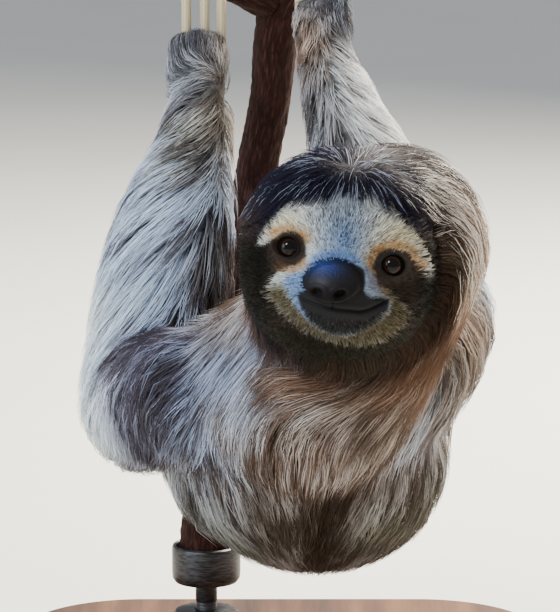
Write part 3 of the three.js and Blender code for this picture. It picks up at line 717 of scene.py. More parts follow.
class Animal:
    """The body's distance on a fine grid and what goes with it on coarser ones, worked out once."""

    def __init__(self):
        low = SKIN_LOW
        counts = np.ceil((SKIN_HIGH - low) / SKIN_PITCH).astype(int) + 1
        axes = [low[axis] + SKIN_PITCH * np.arange(counts[axis]) for axis in range(3)]
        places = np.stack(np.meshgrid(*axes, indexing="ij"), axis=-1).reshape(-1, 3)
        away, label, coat, nearer = body_distance(places)
        self.flesh = Grid(low, SKIN_PITCH, away.reshape(counts))
        self.label = Grid(low, SKIN_PITCH, label.reshape(counts))
        thin = (slice(None, None, 2),) * 3
        coarse = places.reshape(*counts, 3)[thin]
        shape = coarse.shape[:3]
        coarse = coarse.reshape(-1, 3)
        picked = label.reshape(counts)[thin].ravel()

        def soften(values, passes):
            return Grid(low, 2 * SKIN_PITCH, values.reshape(*shape, *values.shape[1:])).softened(passes)

        self.net_points, self.net_quads = net_over(self.flesh)
        for _ in range(2):
            outward = slope_of(self.flesh.at, self.net_points, 1.5)
            self.net_points = self.net_points - outward * self.flesh.at(self.net_points)[:, None]
        self.net_triangles = np.vstack((self.net_quads[:, [0, 1, 2]], self.net_quads[:, [0, 2, 3]]))
        self.coat = soften(coat.reshape(counts)[thin].ravel(), 1)
        self.nearer = soften(np.clip(nearer.reshape(counts)[thin].ravel(), -20, 20), 0)
        self.lie = soften(body_lie(coarse, picked), 2)
        self.tones = soften(body_tone(coarse, picked, slope_of(self.flesh.at, coarse, 2.0)), 1)

    def head_share(self, places):
        """1 on the head, 0 on the limbs, changing over a few millimetres between."""
        return smooth(-7.0, 5.0, self.nearer.at(places))

    def lie_at(self, places):
        """The way the coat lies, the limbs' and the head's blended by the head's share."""
        share = self.head_share(places)[:, None]
        return mix(unit(self.lie.at(places)), head_lie(places), share)

    def depth_at(self, places):
        """The coat's depth, the limbs' and the head's blended by the head's share."""
        local = to_face(places)
        depth = mix(self.coat.at(places), coat_depth(unit(local - HEAD_CENTRE)), self.head_share(places))
        hollow = bell(self.nearer.at(places), 5.0) * smooth(12, 28, local[:, 0])
        return depth + 4.0 * hollow

    def tone_at(self, places, pick):
        """The coat's colour, where `pick` from 0 to 1 chooses between a limb's dark and pale hair."""
        rows = self.tones.at(places)
        pale = smooth(-0.2, 0.2, rows[:, 6] / FULL - pick)[:, None]
        tone = mix(rows[:, 0:3], rows[:, 3:6], pale)
        share = self.head_share(places)[:, None]
        on_head = share[:, 0] > 0
        if on_head.any():
            tone[on_head] = mix(tone[on_head], head_tone(places[on_head]), share[on_head])
        return tone


@functools.cache
def animal():
    """The animal's grids, made when they are first asked for."""
    return Animal()


# --- meshes

def mesh_object(name, points, faces, material, attributes=None, uv=None):
    """A mesh from points in millimetres and faces as an array of corner numbers, as one object at the origin."""
    mesh = bpy.data.meshes.new(name)
    faces = np.asarray(faces, np.int32)
    sides = faces.shape[1]
    mesh.vertices.add(len(points))
    move_points(mesh, np.asarray(points) * MM)
    mesh.loops.add(faces.size)
    mesh.loops.foreach_set("vertex_index", faces.ravel())
    mesh.polygons.add(len(faces))
    mesh.polygons.foreach_set("loop_start", np.arange(0, faces.size, sides, dtype=np.int32))
    mesh.polygons.foreach_set("use_smooth", np.ones(len(faces), bool))
    mesh.update(calc_edges=True)
    mesh.validate()
    add_attributes(mesh, attributes)
    if uv is not None:
        layer = mesh.uv_layers.new(name="OFBake")
        layer.data.foreach_set("uv", uv.astype(np.float32).ravel())
    mesh.materials.append(material)
    return placed(name, mesh)


def points_of(mesh, key="co"):
    """A mesh's points, or their normals, as rows of three numbers."""
    flat = np.empty(len(mesh.vertices) * 3, np.float32)
    mesh.vertices.foreach_get(key, flat)
    return flat.reshape(-1, 3).astype(float)


def move_points(mesh, places):
    """Moves a mesh's points to new places."""
    mesh.vertices.foreach_set("co", np.asarray(places, np.float32).ravel())


def placed(name, data):
    """A new object in the scene, from its data."""
    piece = bpy.data.objects.new(name, data)
    bpy.context.scene.collection.objects.link(piece)
    return piece


def add_attributes(mesh, attributes):
    """Named point attributes: three columns become a colour and one column a number."""
    for key, values in (attributes or {}).items():
        values = np.asarray(values, np.float32)
        if values.ndim == 2:
            layer = mesh.attributes.new(key, "FLOAT_COLOR", "POINT")
            layer.data.foreach_set("color", np.column_stack((values, np.ones(len(values), np.float32))).ravel())
        else:
            layer = mesh.attributes.new(key, "FLOAT", "POINT")
            layer.data.foreach_set("value", values)


def ring_faces(rings, sides):
    """Quads between neighbouring rings of points, numbered ring after ring."""
    ring, side = np.meshgrid(np.arange(rings - 1), np.arange(sides), indexing="ij")
    here = ring * sides + side
    beside = ring * sides + (side + 1) % sides
    return np.stack((here, beside, beside + sides, here + sides), axis=-1).reshape(-1, 4)


def close_tube(rings, sides, last):
    """Quads along a tube and triangles to a point at each end; the two end points come after the rings."""
    quads = ring_faces(rings, sides)
    near = np.arange(sides)
    beside = (near + 1) % sides
    top = (rings - 1) * sides
    return np.vstack((quads[:, [0, 1, 2]], quads[:, [0, 2, 3]],
                      np.column_stack((np.full(sides, last), beside, near)),
                      np.column_stack((np.full(sides, last + 1), top + near, top + beside))))


def by_ring(values, sides, ends=(0.0, 1.0)):
    """A value for each ring, given to all the ring's points, and the two values of the end points."""
    return np.append(np.repeat(values, sides), ends)


def by_side(values, rings):
    """A value for each place round a tube, given to that point of every ring, and 0 at the two end points."""
    return np.append(np.tile(values, rings), (0.0, 0.0))


def dress(piece, slot, *nodes):
    """A finished piece rides on the one body and stands for the frame's nodes it covers, which are hidden. The slot
    is not used.
    """
    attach(piece, ROOT)
    if nodes:
        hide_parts(*nodes)


# --- finishes

class Value:
    """One output of a material's node, whose arithmetic adds Math nodes to the same material."""

    def __init__(self, paint, socket):
        self.paint = paint
        self.socket = socket

    def math(self, operation, *inputs):
        """The result of one operation on values or numbers."""
        return self.paint.value("ShaderNodeMath", dict(enumerate(inputs)), operation=operation)

    def __add__(self, other):
        return self.math("ADD", self, other)

    def __radd__(self, other):
        return self.math("ADD", other, self)

    def __sub__(self, other):
        return self.math("SUBTRACT", self, other)

    def __rsub__(self, other):
        return self.math("SUBTRACT", other, self)

    def __mul__(self, other):
        return self.math("MULTIPLY", self, other)

    def __rmul__(self, other):
        return self.math("MULTIPLY", other, self)


class Paint:
    """A material with one Principled surface, and the ways to add nodes to it."""

    def __init__(self, name, **surface):
        self.material = bpy.data.materials.new(name)
        self.material.use_nodes = True
        self.tree = self.material.node_tree
        self.tree.nodes.clear()
        self.surface = self.node("ShaderNodeBsdfPrincipled", surface)
        output = self.tree.nodes.new("ShaderNodeOutputMaterial")
        self.tree.links.new(self.surface.outputs[0], output.inputs["Surface"])

    def node(self, kind, sockets=None, stops=None, **settings):
        """A node of a kind: its settings first, then a ramp's stops, then the values or links of its sockets."""
        made = self.tree.nodes.new(kind)
        for key, value in settings.items():
            setattr(made, key, value)
        if stops:
            elements = made.color_ramp.elements
            while len(elements) < len(stops):
                elements.new(0.5)
            for element, (place, tone) in zip(elements, stops):
                element.position = place
                element.color = (*tone, 1.0)
        self.feed(made, sockets or {})
        return made

    def feed(self, node, sockets):
        """Sets or links a node's sockets, named with spaces written as underscores."""
        for key, value in sockets.items():
            socket = node.inputs[key.replace("_", " ") if isinstance(key, str) else key]
            if isinstance(value, Value):
                self.tree.links.new(value.socket, socket)
            else:
                socket.default_value = value

    def wear(self, **sockets):
        """Sets or links sockets of the surface itself."""
        self.feed(self.surface, sockets)

    def value(self, kind, sockets=None, output=0, **settings):
        """The chosen output of a new node."""
        return Value(self, self.node(kind, sockets, **settings).outputs[output])

    def attribute(self, name, output="Fac"):
        """A value or colour stored on the piece's points."""
        return self.value("ShaderNodeAttribute", output=output, attribute_name=name)

    def vector(self, **parts):
        """A vector from its parts."""
        return self.value("ShaderNodeCombineXYZ", parts)

    def place(self, scale=(1.0, 1.0, 1.0)):
        """Object coordinates, stretched."""
        spot = self.value("ShaderNodeTexCoord", output="Object")
        return self.value("ShaderNodeMapping", {"Vector": spot, "Scale": scale})

    def grain(self, where, scale, detail=3.0, roughness=0.5):
        """Noise from 0 to 1."""
        sockets = {"Vector": where, "Scale": scale, "Detail": detail, "Roughness": roughness}
        return self.value("ShaderNodeTexNoise", sockets, output="Fac")

    def blend(self, share, one, two, how="MIX"):
        """Two colours mixed by a share."""
        mixer = self.node("ShaderNodeMix", data_type="RGBA", blend_type=how)
        self.feed(mixer, {0: share, 6: one, 7: two})
        return Value(self, mixer.outputs[2])

    def ramp(self, share, *stops):
        """A colour from a row of stops, each a place and a linear colour."""
        return self.value("ShaderNodeValToRGB", {"Fac": share}, output="Color", stops=stops)

    def bump(self, height, distance, strength=1.0):
        """Feeds the surface's Normal from a height in metres times `distance`."""
        normal = self.value("ShaderNodeBump", {"Height": height, "Distance": distance, "Strength": strength},
                            output="Normal")
        self.wear(Normal=normal)


def shade(red, green, blue):
    """A display colour of 0-255 as linear numbers."""
    return tuple(float(part) for part in to_linear(np.array((red, green, blue), float)))


def coat_finish():
    """Dry hair: its stored colour with fine flecks and strands, a soft gloss."""
    paint = Paint("sloth_coat", Roughness=0.6, Specular_IOR_Level=0.04)
    flecks = paint.grain(paint.place(), 900.0, 2.0)
    tone = paint.attribute("tone", "Color")
    where = paint.vector(X=paint.attribute("strand") * 7.0, Y=paint.attribute("level") * 1.5)
    strands = paint.grain(where, 1.0, 2.0, 0.6)
    paint.wear(Base_Color=paint.blend(flecks * 0.1 + strands * 0.16, tone, (0.012, 0.009, 0.007, 1.0)))
    return paint.material


def skin_finish():
    """Skin: dull and finely creased under the coat, and moist and pebbled where it is bare."""
    paint = Paint("sloth_skin", Roughness=0.7, Specular_IOR_Level=0.12, Coat_Roughness=0.34, Coat_IOR=1.4)
    wet = paint.attribute("wet")
    place = paint.place()
    pores = paint.value("ShaderNodeTexVoronoi", {"Vector": place, "Scale": 1500.0, "Randomness": 1.0},
                        output="Distance")
    fine = paint.grain(place, 2400.0, 3.0)
    tone = paint.blend(fine * 0.3, paint.attribute("tone", "Color"), (0.015, 0.011, 0.01, 1.0))
    paint.wear(Base_Color=tone, Roughness=0.85 - wet * 0.5 + fine * 0.12, Coat_Weight=wet * 0.28)
    paint.bump(pores * wet * 1.1 + fine * 0.5, 0.00018)
    return paint.material


IRIS_EDGE = 0.72  # the iris's edge, as an angle from the gaze


def eye_finish(iris, pupil):
    """A moist eye: black pupil, a brown iris with a paler middle and streaks out from it, and a dark rim."""
    paint = Paint("sloth_eye", Roughness=0.5, Coat_Weight=0.4, Coat_Roughness=0.015, Coat_IOR=1.45,
                  Specular_IOR_Level=0.0)
    ring = paint.attribute("ring")
    spokes = paint.grain(paint.vector(X=paint.attribute("streak") * 26.0, Y=ring * 2.0), 1.0, 2.0)
    black = (0.002, 0.002, 0.002)
    deep = tuple(part * 0.28 for part in iris)
    tone = paint.ramp(ring, (0.0, black), (pupil, black), (pupil + 0.04, deep), (0.5, tuple(iris)),
                      (IRIS_EDGE, deep), (IRIS_EDGE + 0.06, (0.006, 0.004, 0.003)))
    paint.wear(Base_Color=paint.blend(spokes * 0.55, tone, (0.004, 0.003, 0.002, 1.0)))
    return paint.material


def claw_finish():
    """Horn: cream with brown streaks along it, darker at the root and duller where it is worn."""
    paint = Paint("sloth_claw", Roughness=0.4, Specular_IOR_Level=0.5)
    along = paint.attribute("along")
    streaks = paint.grain(paint.vector(X=paint.attribute("around") * 9.0, Y=along * 1.6), 1.0, 4.0, 0.6)
    tone = paint.ramp(streaks, (0.3, shade(168, 148, 112)), (0.55, shade(222, 208, 176)), (0.8, shade(242, 232, 208)))
    root = paint.ramp(along, (0.0, shade(128, 108, 86)), (0.3, shade(240, 232, 210)), (1.0, shade(246, 238, 220)))
    paint.wear(Base_Color=paint.blend(0.5, tone, root, "MULTIPLY"), Roughness=0.32 + streaks * 0.25)
    paint.bump(streaks, 0.0003, 0.6)
    return paint.material


def bark_finish(bark):
    """Reddish bark with paler scales and dark cracks, and pale rings where the wood is cut."""
    paint = Paint("branch_bark", Roughness=0.85, Specular_IOR_Level=0.15)
    where = paint.vector(X=paint.attribute("around_x"), Y=paint.attribute("around_y"),
                         Z=paint.attribute("along") * 0.14)
    rough = paint.grain(where, 7.0, 6.0, 0.65)
    cracks = paint.value("ShaderNodeTexVoronoi", {"Vector": where, "Scale": 5.0}, output="Distance",
                         feature="DISTANCE_TO_EDGE")
    crack = paint.ramp(cracks, (0.0, (0.0, 0.0, 0.0)), (0.09, (1.0, 1.0, 1.0)))
    base = tuple(bark)
    tone = paint.ramp(rough, (0.28, tuple(part * 0.32 for part in base)), (0.5, base),
                      (0.72, tuple(min(1.0, part * 2.4 + 0.02) for part in base)))
    tone = paint.blend(crack, (*(part * 0.5 for part in base), 1.0), tone)
    rings = paint.grain(paint.vector(X=paint.attribute("ring") * 14.0), 1.0, 2.0)
    wood = paint.ramp(rings, (0.3, shade(150, 112, 74)), (0.7, shade(206, 172, 124)))
    paint.wear(Base_Color=paint.blend(paint.attribute("cut"), tone, wood), Roughness=0.72 + rough * 0.25)
    paint.bump(rough * 1.2 + cracks * 0.7, 0.0012, 0.8)
    return paint.material


def wood_finish():
    """Oiled walnut board: long grain with a few darker bands, satin."""
    paint = Paint("stand_walnut", Roughness=0.42, Specular_IOR_Level=0.45, Coat_Weight=0.15, Coat_Roughness=0.3)
    stretched = paint.place((1.0, 0.07, 1.0))
    bands = paint.grain(stretched, 60.0, 5.0, 0.6)
    pores = paint.grain(paint.place((1.0, 0.03, 1.0)), 900.0, 2.0)
    tone = paint.ramp(bands, (0.3, shade(62, 40, 26)), (0.5, shade(96, 64, 42)), (0.68, shade(124, 86, 56)))
    paint.wear(Base_Color=paint.blend(pores * 0.4, tone, (*shade(40, 25, 16), 1.0)), Roughness=0.34 + pores * 0.2)
    paint.bump(pores + bands * 0.5, 0.00015, 0.6)
    return paint.material


def steel_finish():
    """Blackened steel, brushed round, with a few rubbed spots."""
    paint = Paint("stand_steel", Metallic=0.9, Roughness=0.4)
    rubbed = paint.grain(paint.place((1.0, 1.0, 6.0)), 240.0, 4.0)
    paint.wear(Base_Color=paint.ramp(rubbed, (0.3, shade(38, 37, 38)), (0.75, shade(84, 82, 82))),
               Roughness=0.3 + rubbed * 0.28)
    paint.bump(rubbed, 0.00006, 0.4)
    return paint.material


def floor_finish(tone):
    """A matt pale floor with a very faint mottle."""
    paint = Paint("studio_floor", Roughness=0.9, Specular_IOR_Level=0.2)
    mottle = paint.grain(paint.place(), 3.0, 2.0)
    dim = tuple(part * 0.96 for part in tone)
    paint.wear(Base_Color=paint.ramp(mottle, (0.3, dim), (0.7, tuple(tone))))
    return paint.material


# --- the skin

WHOLE_FACE, INNER_FACE, FEATURE_MARGIN = 40.0, 31.0, 2.5  # where the skin is split once, twice and three times


def rework(mesh, change):
    """Puts a mesh's faces through one change."""
    form = bmesh.new()
    form.from_mesh(mesh)
    change(form)
    form.to_mesh(mesh)
    form.free()


def refine(mesh, keep):
    """Splits in half every edge of the mesh whose two ends are kept, and fills the quads with grids."""
    def split(form):
        edges = [edge for edge in form.edges if keep[edge.verts[0].index] and keep[edge.verts[1].index]]
        bmesh.ops.subdivide_edges(form, edges=edges, cuts=1, use_grid_fill=True)

    rework(mesh, split)


def cut_wide_faces(form):
    """Cuts every face of more than four corners into triangles."""
    bmesh.ops.triangulate(form, faces=[face for face in form.faces if len(face.verts) > 4])


def on_face(places, fine):
    """Points of the front of the head moved along their line from its centre onto the skin's exact form."""
    local = to_face(places) - HEAD_CENTRE
    ways = unit(local)
    share = smooth(0.0, 0.15, ways[:, 1])
    picked = share > 0
    away = np.linalg.norm(local, axis=1)
    reach = away.copy()
    reach[picked] = mix(away[picked], skin_reach(ways[picked], fine), share[picked])
    return from_face(ways * reach[:, None] + HEAD_CENTRE)


def features_near(places, margin):
    """True within a margin of an eye, the nose pad or the mouth, on the front of the head."""
    local = to_face(places)
    across, _, up = local.T
    front = unit(local - HEAD_CENTRE)[:, 1] > 0.3
    near = pad_norm(across, up) < 1.0 + margin / 7
    near |= line_distance(across, up, MOUTH) < margin + 1
    for side in SIDES:
        near |= eye_norm(side, across, up) < 1.3 + margin / 3.5
    return near & front


def front_of_head(places, reach):
    """True on the front of the head within a reach of its middle line."""
    local = to_face(places)
    centred = np.hypot(local[:, 0], (local[:, 2] + 4) * 0.95)
    return (unit(local - HEAD_CENTRE)[:, 1] > 0.15) & (centred < reach)


def skin_piece(material):
    """The one skin: a net over the body's distances, drawn onto the true surface, with the face split three times
    over and drawn onto the head's own form, where the features are."""
    world = animal()
    mesh = bpy.data.meshes.new("sloth_skin")
    mesh.from_pydata(world.net_points, [], world.net_quads)
    for wanted, reach in ((front_of_head, WHOLE_FACE), (front_of_head, INNER_FACE), (features_near, FEATURE_MARGIN)):
        refine(mesh, wanted(points_of(mesh), reach))
        move_points(mesh, on_face(points_of(mesh), False))
    rework(mesh, cut_wide_faces)
    places = on_face(points_of(mesh), True)
    move_points(mesh, places * MM)
    mesh.polygons.foreach_set("use_smooth", np.ones(len(mesh.polygons), bool))
    mesh.update()
    tone = world.tone_at(places, 0.5 + 0.4 * waves(places, 5.0, 21))
    # painted shade: the skin under the coat is darkened, most away from the face's front, so that the gaps between
    # the hairs read dark
    on_front = smooth(0.2, 0.4, unit(to_face(places) - HEAD_CENTRE)[:, 1]) * world.head_share(places)
    tone = tone * mix(0.6, 0.9, on_front)[:, None]
    tone, wet = bare_tone(places, tone)
    add_attributes(mesh, {"tone": to_linear(tone), "wet": wet})
    mesh.materials.append(material)
    return placed("sloth_skin", mesh)


# --- the coat

ROOT_DEPTH = 0.7  # how far a hair's root goes under the skin
LOCK_HAIRS = 6
UV_PATCH = 0.003  # side of a hair's square in the flat map
GLINT_SHARE = 0.9  # how much of a glint's colour covers its hair's own


def comb(roots, lengths, lifts, steps, distance, reach, drift):
    """Paths over the skin: at each step a path goes on along the lie of the coat, turned by its own drift, and is
    then set to its height above the skin, which rises from the root as 1 - (1 - share)^2.5."""
    world = animal()
    here = roots.copy()
    out = slope_of(distance, here, reach)
    spots, outs = [here - out * ROOT_DEPTH], [out]
    for step in range(1, steps + 1):
        way = unit(flat_to(world.lie_at(here), out))
        way = way * np.cos(drift)[:, None] + np.cross(out, way) * np.sin(drift)[:, None]
        here = here + way * (lengths / steps)[:, None]
        out = slope_of(distance, here, reach)
        target = lifts * (1 - (1 - step / steps) ** 2.5)
        here = here + out * np.clip(target - distance(here), -4.0, 4.0)[:, None]
        spots.append(here)
        outs.append(out)
    return np.stack(spots, axis=1), np.stack(outs, axis=1)


def along_path(rows, shares):
    """Each path read at its own shares of its length, by straight blends between its stations."""
    last = rows.shape[1] - 1
    spot = np.clip(shares * last, 0, last - 1e-6)
    low = spot.astype(int)
    part = (spot - low)[..., None]
    picked = np.arange(len(rows))[:, None]
    return rows[picked, low] * (1 - part) + rows[picked, low + 1] * part


def split_locks(paths, outs, members, spread, draw, gather=0.75, wave=0.5):
    """Each path becomes a lock of hairs. A hair starts beside the path and closes on it by `gather` towards the tip,
    and has its own length and a slight wave."""
    count, stations = paths.shape[:2]
    lock = np.repeat(np.arange(count), members)
    shares = np.linspace(0, 1, stations)
    cut = draw.uniform(0.72, 1.0, len(lock))
    spots = along_path(paths[lock], shares * cut[:, None])
    ups = unit(along_path(outs[lock], shares * cut[:, None]))
    run = unit(np.gradient(spots, axis=1))
    side = unit(np.cross(ups, run))
    turn = draw.uniform(0, 2 * np.pi, len(lock))
    away = np.sqrt(draw.uniform(0, 1, len(lock))) * spread[lock]
    close = 1 - gather * shares ** 1.3
    swing = wave * shares * np.sin(2 * np.pi * (shares * 1.1 + draw.uniform(0, 1, (len(lock), 1))))
    spots = spots + side * ((away * np.cos(turn))[:, None] * close + swing)[..., None]
    spots = spots + run * ((away * np.sin(turn))[:, None] * (1 - shares))[..., None]
    spots = spots + ups * (0.25 * spread[lock, None] * draw.normal(0, 0.5, (len(lock), 1)) * shares)[..., None]
    return spots, ups, lock


def tuft_mesh(paths, outs, widths, flatness=0.65):
    """Three-sided hairs along the paths, widest a third of the way up and closed at both ends; also the share of its
    length at which each point lies, and each point's place in its own square of the unwrap."""
    count, stations = paths.shape[:2]
    rings = stations - 1
    run = unit(np.gradient(paths, axis=1))
    side = unit(np.cross(outs, run))
    up = np.cross(run, side)
    share = np.arange(rings) / rings
    profile = np.clip(0.75 + 1.1 * share - 1.75 * share ** 2, 0.25, None)
    angles = np.radians((90.0, 210.0, 330.0))
    spread = widths[:, None, None, None] * profile[None, :, None, None] * 0.5
    ring = paths[:, :rings, None] + spread * (np.cos(angles)[:, None] * side[:, :rings, None]
                                              + flatness * np.sin(angles)[:, None] * up[:, :rings, None])
    points = np.concatenate((ring.reshape(count, rings * 3, 3), paths[:, rings:]), axis=1)
    faces = []
    for level in range(rings - 1):
        for corner in range(3):
            near, beside = 3 * level + corner, 3 * level + (corner + 1) % 3
            faces += [(near, beside, beside + 3), (near, beside + 3, near + 3)]
    top = 3 * (rings - 1)
    faces += [(top + corner, top + (corner + 1) % 3, 3 * rings) for corner in range(3)]
    faces.append((2, 1, 0))
    faces = np.array(faces)
    per = rings * 3 + 1
    whole = (np.arange(count)[:, None, None] * per + faces).reshape(-1, 3)
    levels = np.append(np.repeat(share, 3), 1.0)
    squares = np.column_stack((np.append(np.tile((0.0, 0.5, 1.0), rings), 0.5), levels))
    return points.reshape(-1, 3), whole, np.tile(levels, count), np.tile(squares, (count, 1))


def hair_normals(paths, outs):
    """For each point of the hairs, the way out of the body where it stands, which its shading leans towards."""
    rings = paths.shape[1] - 1
    return np.concatenate((np.repeat(outs[:, :rings], 3, axis=1), outs[:, rings:]), axis=1).reshape(-1, 3)


def soften_normals(piece, outward, share=0.6):
    """Leans the normals of a coat towards the body's own, so that the coat takes light as one soft surface."""
    mesh = piece.data
    leaned = unit(mix(points_of(mesh, "normal"), outward, share))
    mesh.normals_split_custom_set_from_vertices(leaned.astype(np.float32))


def unwrap(places, names):
    """A flat map of the skin: the head by its angle from the face's axis, each limb by the share of its length and
    the angle round it, and several limbs side by side."""
    if not names:
        ways = unit(to_face(places) - HEAD_CENTRE)
        angle = np.arccos(np.clip(ways[:, 1], -1, 1)) / np.pi
        turn = np.arctan2(ways[:, 2], ways[:, 0])
        return 0.5 + 0.48 * angle[:, None] * np.column_stack((np.cos(turn), np.sin(turn)))
    flat = np.zeros((len(places), 2))
    best = np.full(len(places), np.inf)
    for strip, name in enumerate(names):
        chain = path_through(CHAINS[name], 2)
        axis = unit(chain[-1, :3] - chain[0, :3])
        first = unit(flat_to(np.array((0.3, 0.5, 0.81)), axis))
        second = np.cross(axis, first)
        lengths = np.concatenate(([0], np.cumsum(np.linalg.norm(np.diff(chain[:, :3], axis=0), axis=1))))
        for row in range(len(chain) - 1):
            away, share, off = taper_distance(places, chain[row], chain[row + 1])
            closer = away < best
            best[closer] = away[closer]
            turn = np.arctan2(off @ second, off @ first) / (2 * np.pi) + 0.5
            rise = (lengths[row] + share * (lengths[row + 1] - lengths[row])) / lengths[-1]
            spot = np.column_stack(((strip + 0.03 + 0.94 * turn) / len(names), 0.02 + 0.96 * rise))
            flat[closer] = spot[closer]
    return flat


def coat_piece(name, roots, names, lengths, lifts, width, members, spread, steps, seed, material, face=False,
               shadow=0.8, drift=0.09, gather=0.35, wave=0.4, flecks=None, glints=None, sample=0.3):
    """One piece of the coat grown from its roots, with its colours and its map. `flecks` is each root's share of
    darkened hairs, partly dark hairs and partly painted shade between them; `glints` is each root's share of hairs
    given a lighter colour, mostly a painted highlight, and that colour there."""
    world = animal()
    draw = np.random.default_rng(seed)
    distance = (lambda places: head_distance(places, True)) if face else world.flesh.at
    bends = draw.normal(0, drift, len(roots))
    paths, outs = comb(roots, lengths, lifts, steps, distance, 0.8 if face else 1.5, bends)
    paths, outs, lock = split_locks(paths, outs, members, np.full(len(roots), spread), draw, gather, wave)
    widths = width * draw.uniform(0.7, 1.2, len(lock)) * (0.5 + 0.5 * lengths[lock] / lengths.max())
    points, faces, levels, squares = tuft_mesh(paths, outs, widths)
    per = len(points) // len(lock)
    streaks = waves(roots * (1.0, 1.0, 0.4), 9.0, 31) * 0.6 + waves(roots * (1.0, 1.0, 0.5), 22.0, 32) * 0.4
    pick = np.clip(0.5 + 0.42 * streaks + draw.normal(0, 0.11, len(roots)), 0, 1)[lock]
    pick = np.clip(pick + draw.normal(0, 0.06, len(lock)), 0, 1)
    tone = world.tone_at(along_path(paths, np.full((len(lock), 1), sample))[:, 0], pick)
    bright = draw.normal(1.0, 0.05, len(roots))[lock] + draw.normal(0.0, 0.07, len(lock))
    if flecks is not None:
        bright *= np.where(draw.uniform(0, 1, len(lock)) < flecks[lock], 0.52, 1.08)
    tone = tone * bright[:, None]
    if glints is not None:
        lit = draw.uniform(0, 1, len(lock)) < glints[0][lock]
        tone = np.where(lit[:, None], mix(tone, glints[1][lock], GLINT_SHARE), tone)
    fade = mix(shadow, 1.06, levels ** 0.7)[:, None]
    tones = np.repeat(tone, per, axis=0) * fade
    flat = np.repeat(unwrap(paths[:, 0], names), per, axis=0) + UV_PATCH * (squares - 0.5)
    uv = flat[faces.ravel()]
    strand = squares[:, 0] + np.repeat(draw.uniform(0, 90, len(lock)), per)
    piece = mesh_object(name, points, faces, material, {"tone": to_linear(tones), "strand": strand, "level": levels},
                        uv)
    soften_normals(piece, hair_normals(paths, outs))
    return piece


def scatter(count, seed, weigh):
    """Roots spread evenly over the skin by area times a weight, each at a random place in its triangle."""
    world = animal()
    draw = np.random.default_rng(seed)
    corners = world.net_points[world.net_triangles]
    middle = corners.mean(axis=1)
    area = np.linalg.norm(np.cross(corners[:, 1] - corners[:, 0], corners[:, 2] - corners[:, 0]), axis=1) / 2
    weight = area * weigh(middle, world.label.nearest(middle))
    picked = np.searchsorted(np.cumsum(weight) / weight.sum(), (np.arange(count) + draw.uniform(0, 1, count)) / count)
    picked = np.minimum(picked, len(corners) - 1)
    one, two = draw.uniform(0, 1, (2, count))
    fold = one + two > 1
    one[fold], two[fold] = 1 - one[fold], 1 - two[fold]
    spots = corners[picked]
    return spots[:, 0] + one[:, None] * (spots[:, 1] - spots[:, 0]) + two[:, None] * (spots[:, 2] - spots[:, 0])


def face_zone(places):
    """1 on the short-haired face, 0 on the long-haired crown, cheeks' backs and throat."""
    local = to_face(places)
    ways = unit(local - HEAD_CENTRE)
    from_middle = np.hypot(local[:, 0] - 1, local[:, 2] + 4)
    return smooth(0.10, 0.22, ways[:, 1]) * smooth(27, 21, local[:, 2]) * smooth(36, 31, from_middle)


def face_roots(count, seed, side):
    """Roots on one half of the face, on its exact form, with the bare parts left out."""
    def weigh(middle, label):
        local = to_face(middle)
        half = local[:, 0] < NOSE[0] if side == "right" else local[:, 0] >= NOSE[0]
        centre = np.hypot(local[:, 0], local[:, 2] + 4)
        return (label == HEAD_LABEL) * half * (face_zone(middle) > 0.3) * mix(1.5, 0.8, smooth(10, 32, centre))

    roots = on_face(scatter(count, seed, weigh), True)
    across, _, up = to_face(roots).T
    crease = np.interp(across, *np.transpose(MOUTH))
    bare = (inside(across, up, LIP_PATCH, 1.0) > 0.5) & (up > crease - 2.4)
    free = (pad_norm(across, up) > 1.04 - 0.10 * smooth(-7, -3, up)) & ~bare
    for eye in SIDES:
        free &= eye_norm(eye, across, up) > 1.2
    return roots[free]


def face_lengths(roots):
    """Hair on the face: shortest by the nose, lips and eyes, longest at the cheeks and brow."""
    across, _, up = to_face(roots).T
    lengths = 2.0 + 3.0 * smooth(8, 30, np.hypot(across - NOSE[0], (up - NOSE[2]) * 0.9))
    for eye in SIDES:
        lengths *= mix(0.5, 1.0, smooth(1.3, 3.6, eye_norm(eye, across, up)))
    meeting = bell(up + 0.12 * np.abs(across) - 19, 3.5)
    lengths *= (1 - 0.45 * meeting) * mix(1.0, 0.75, inside(across, up, LIP_PATCH, 1.0))
    return lengths + 6.0 * outer_face(across, up)


def outer_face(across, up):
    """1 on the dark hair of the cheeks and chin outside the mask, 0 on the mask and beside the eyes."""
    return smooth(25, 33, np.hypot(across, up + 4)) * (1 - inside(across, up, MASK_OUTLINE, 5.0))


FACE_SEEDS = {"right": (101, 7, 201), "left": (102, 8, 202)}


def coat_of_face(side, material, density):
    """Short fine hair over one half of the face."""
    root_seed, length_seed, lock_seed = FACE_SEEDS[side]
    roots = face_roots(int(4600 * density), root_seed, side)
    draw = np.random.default_rng(length_seed)
    lengths = face_lengths(roots) * draw.uniform(0.8, 1.2, len(roots))
    lifts = coat_depth(unit(to_face(roots) - HEAD_CENTRE)) * draw.uniform(0.35, 0.9, len(roots))
    across, _, up = to_face(roots).T
    # darkened hairs, most on the forehead: partly dark hairs, partly painted shade in the gaps between the hairs
    flecks = 0.12 + 0.34 * glow(across, up, (0.5, 9.0), 13.0) + 0.2 * smooth(-10, -16, up)
    # lighter stubble hairs on the lips, partly painted highlight
    lip_glints = (0.25 * inside(across, up, LIP_PATCH, 2.0), np.full(roots.shape, LIP_GLINT))
    return coat_piece(f"coat_face_{side}", roots, [], lengths, lifts * smooth(0.5, 4.5, lengths), 0.33, 3, 0.6, 2,
                      lock_seed, material, face=True, shadow=0.66, drift=0.12, gather=0.3,
                      wave=0.1, flecks=flecks, glints=lip_glints, sample=0.88)


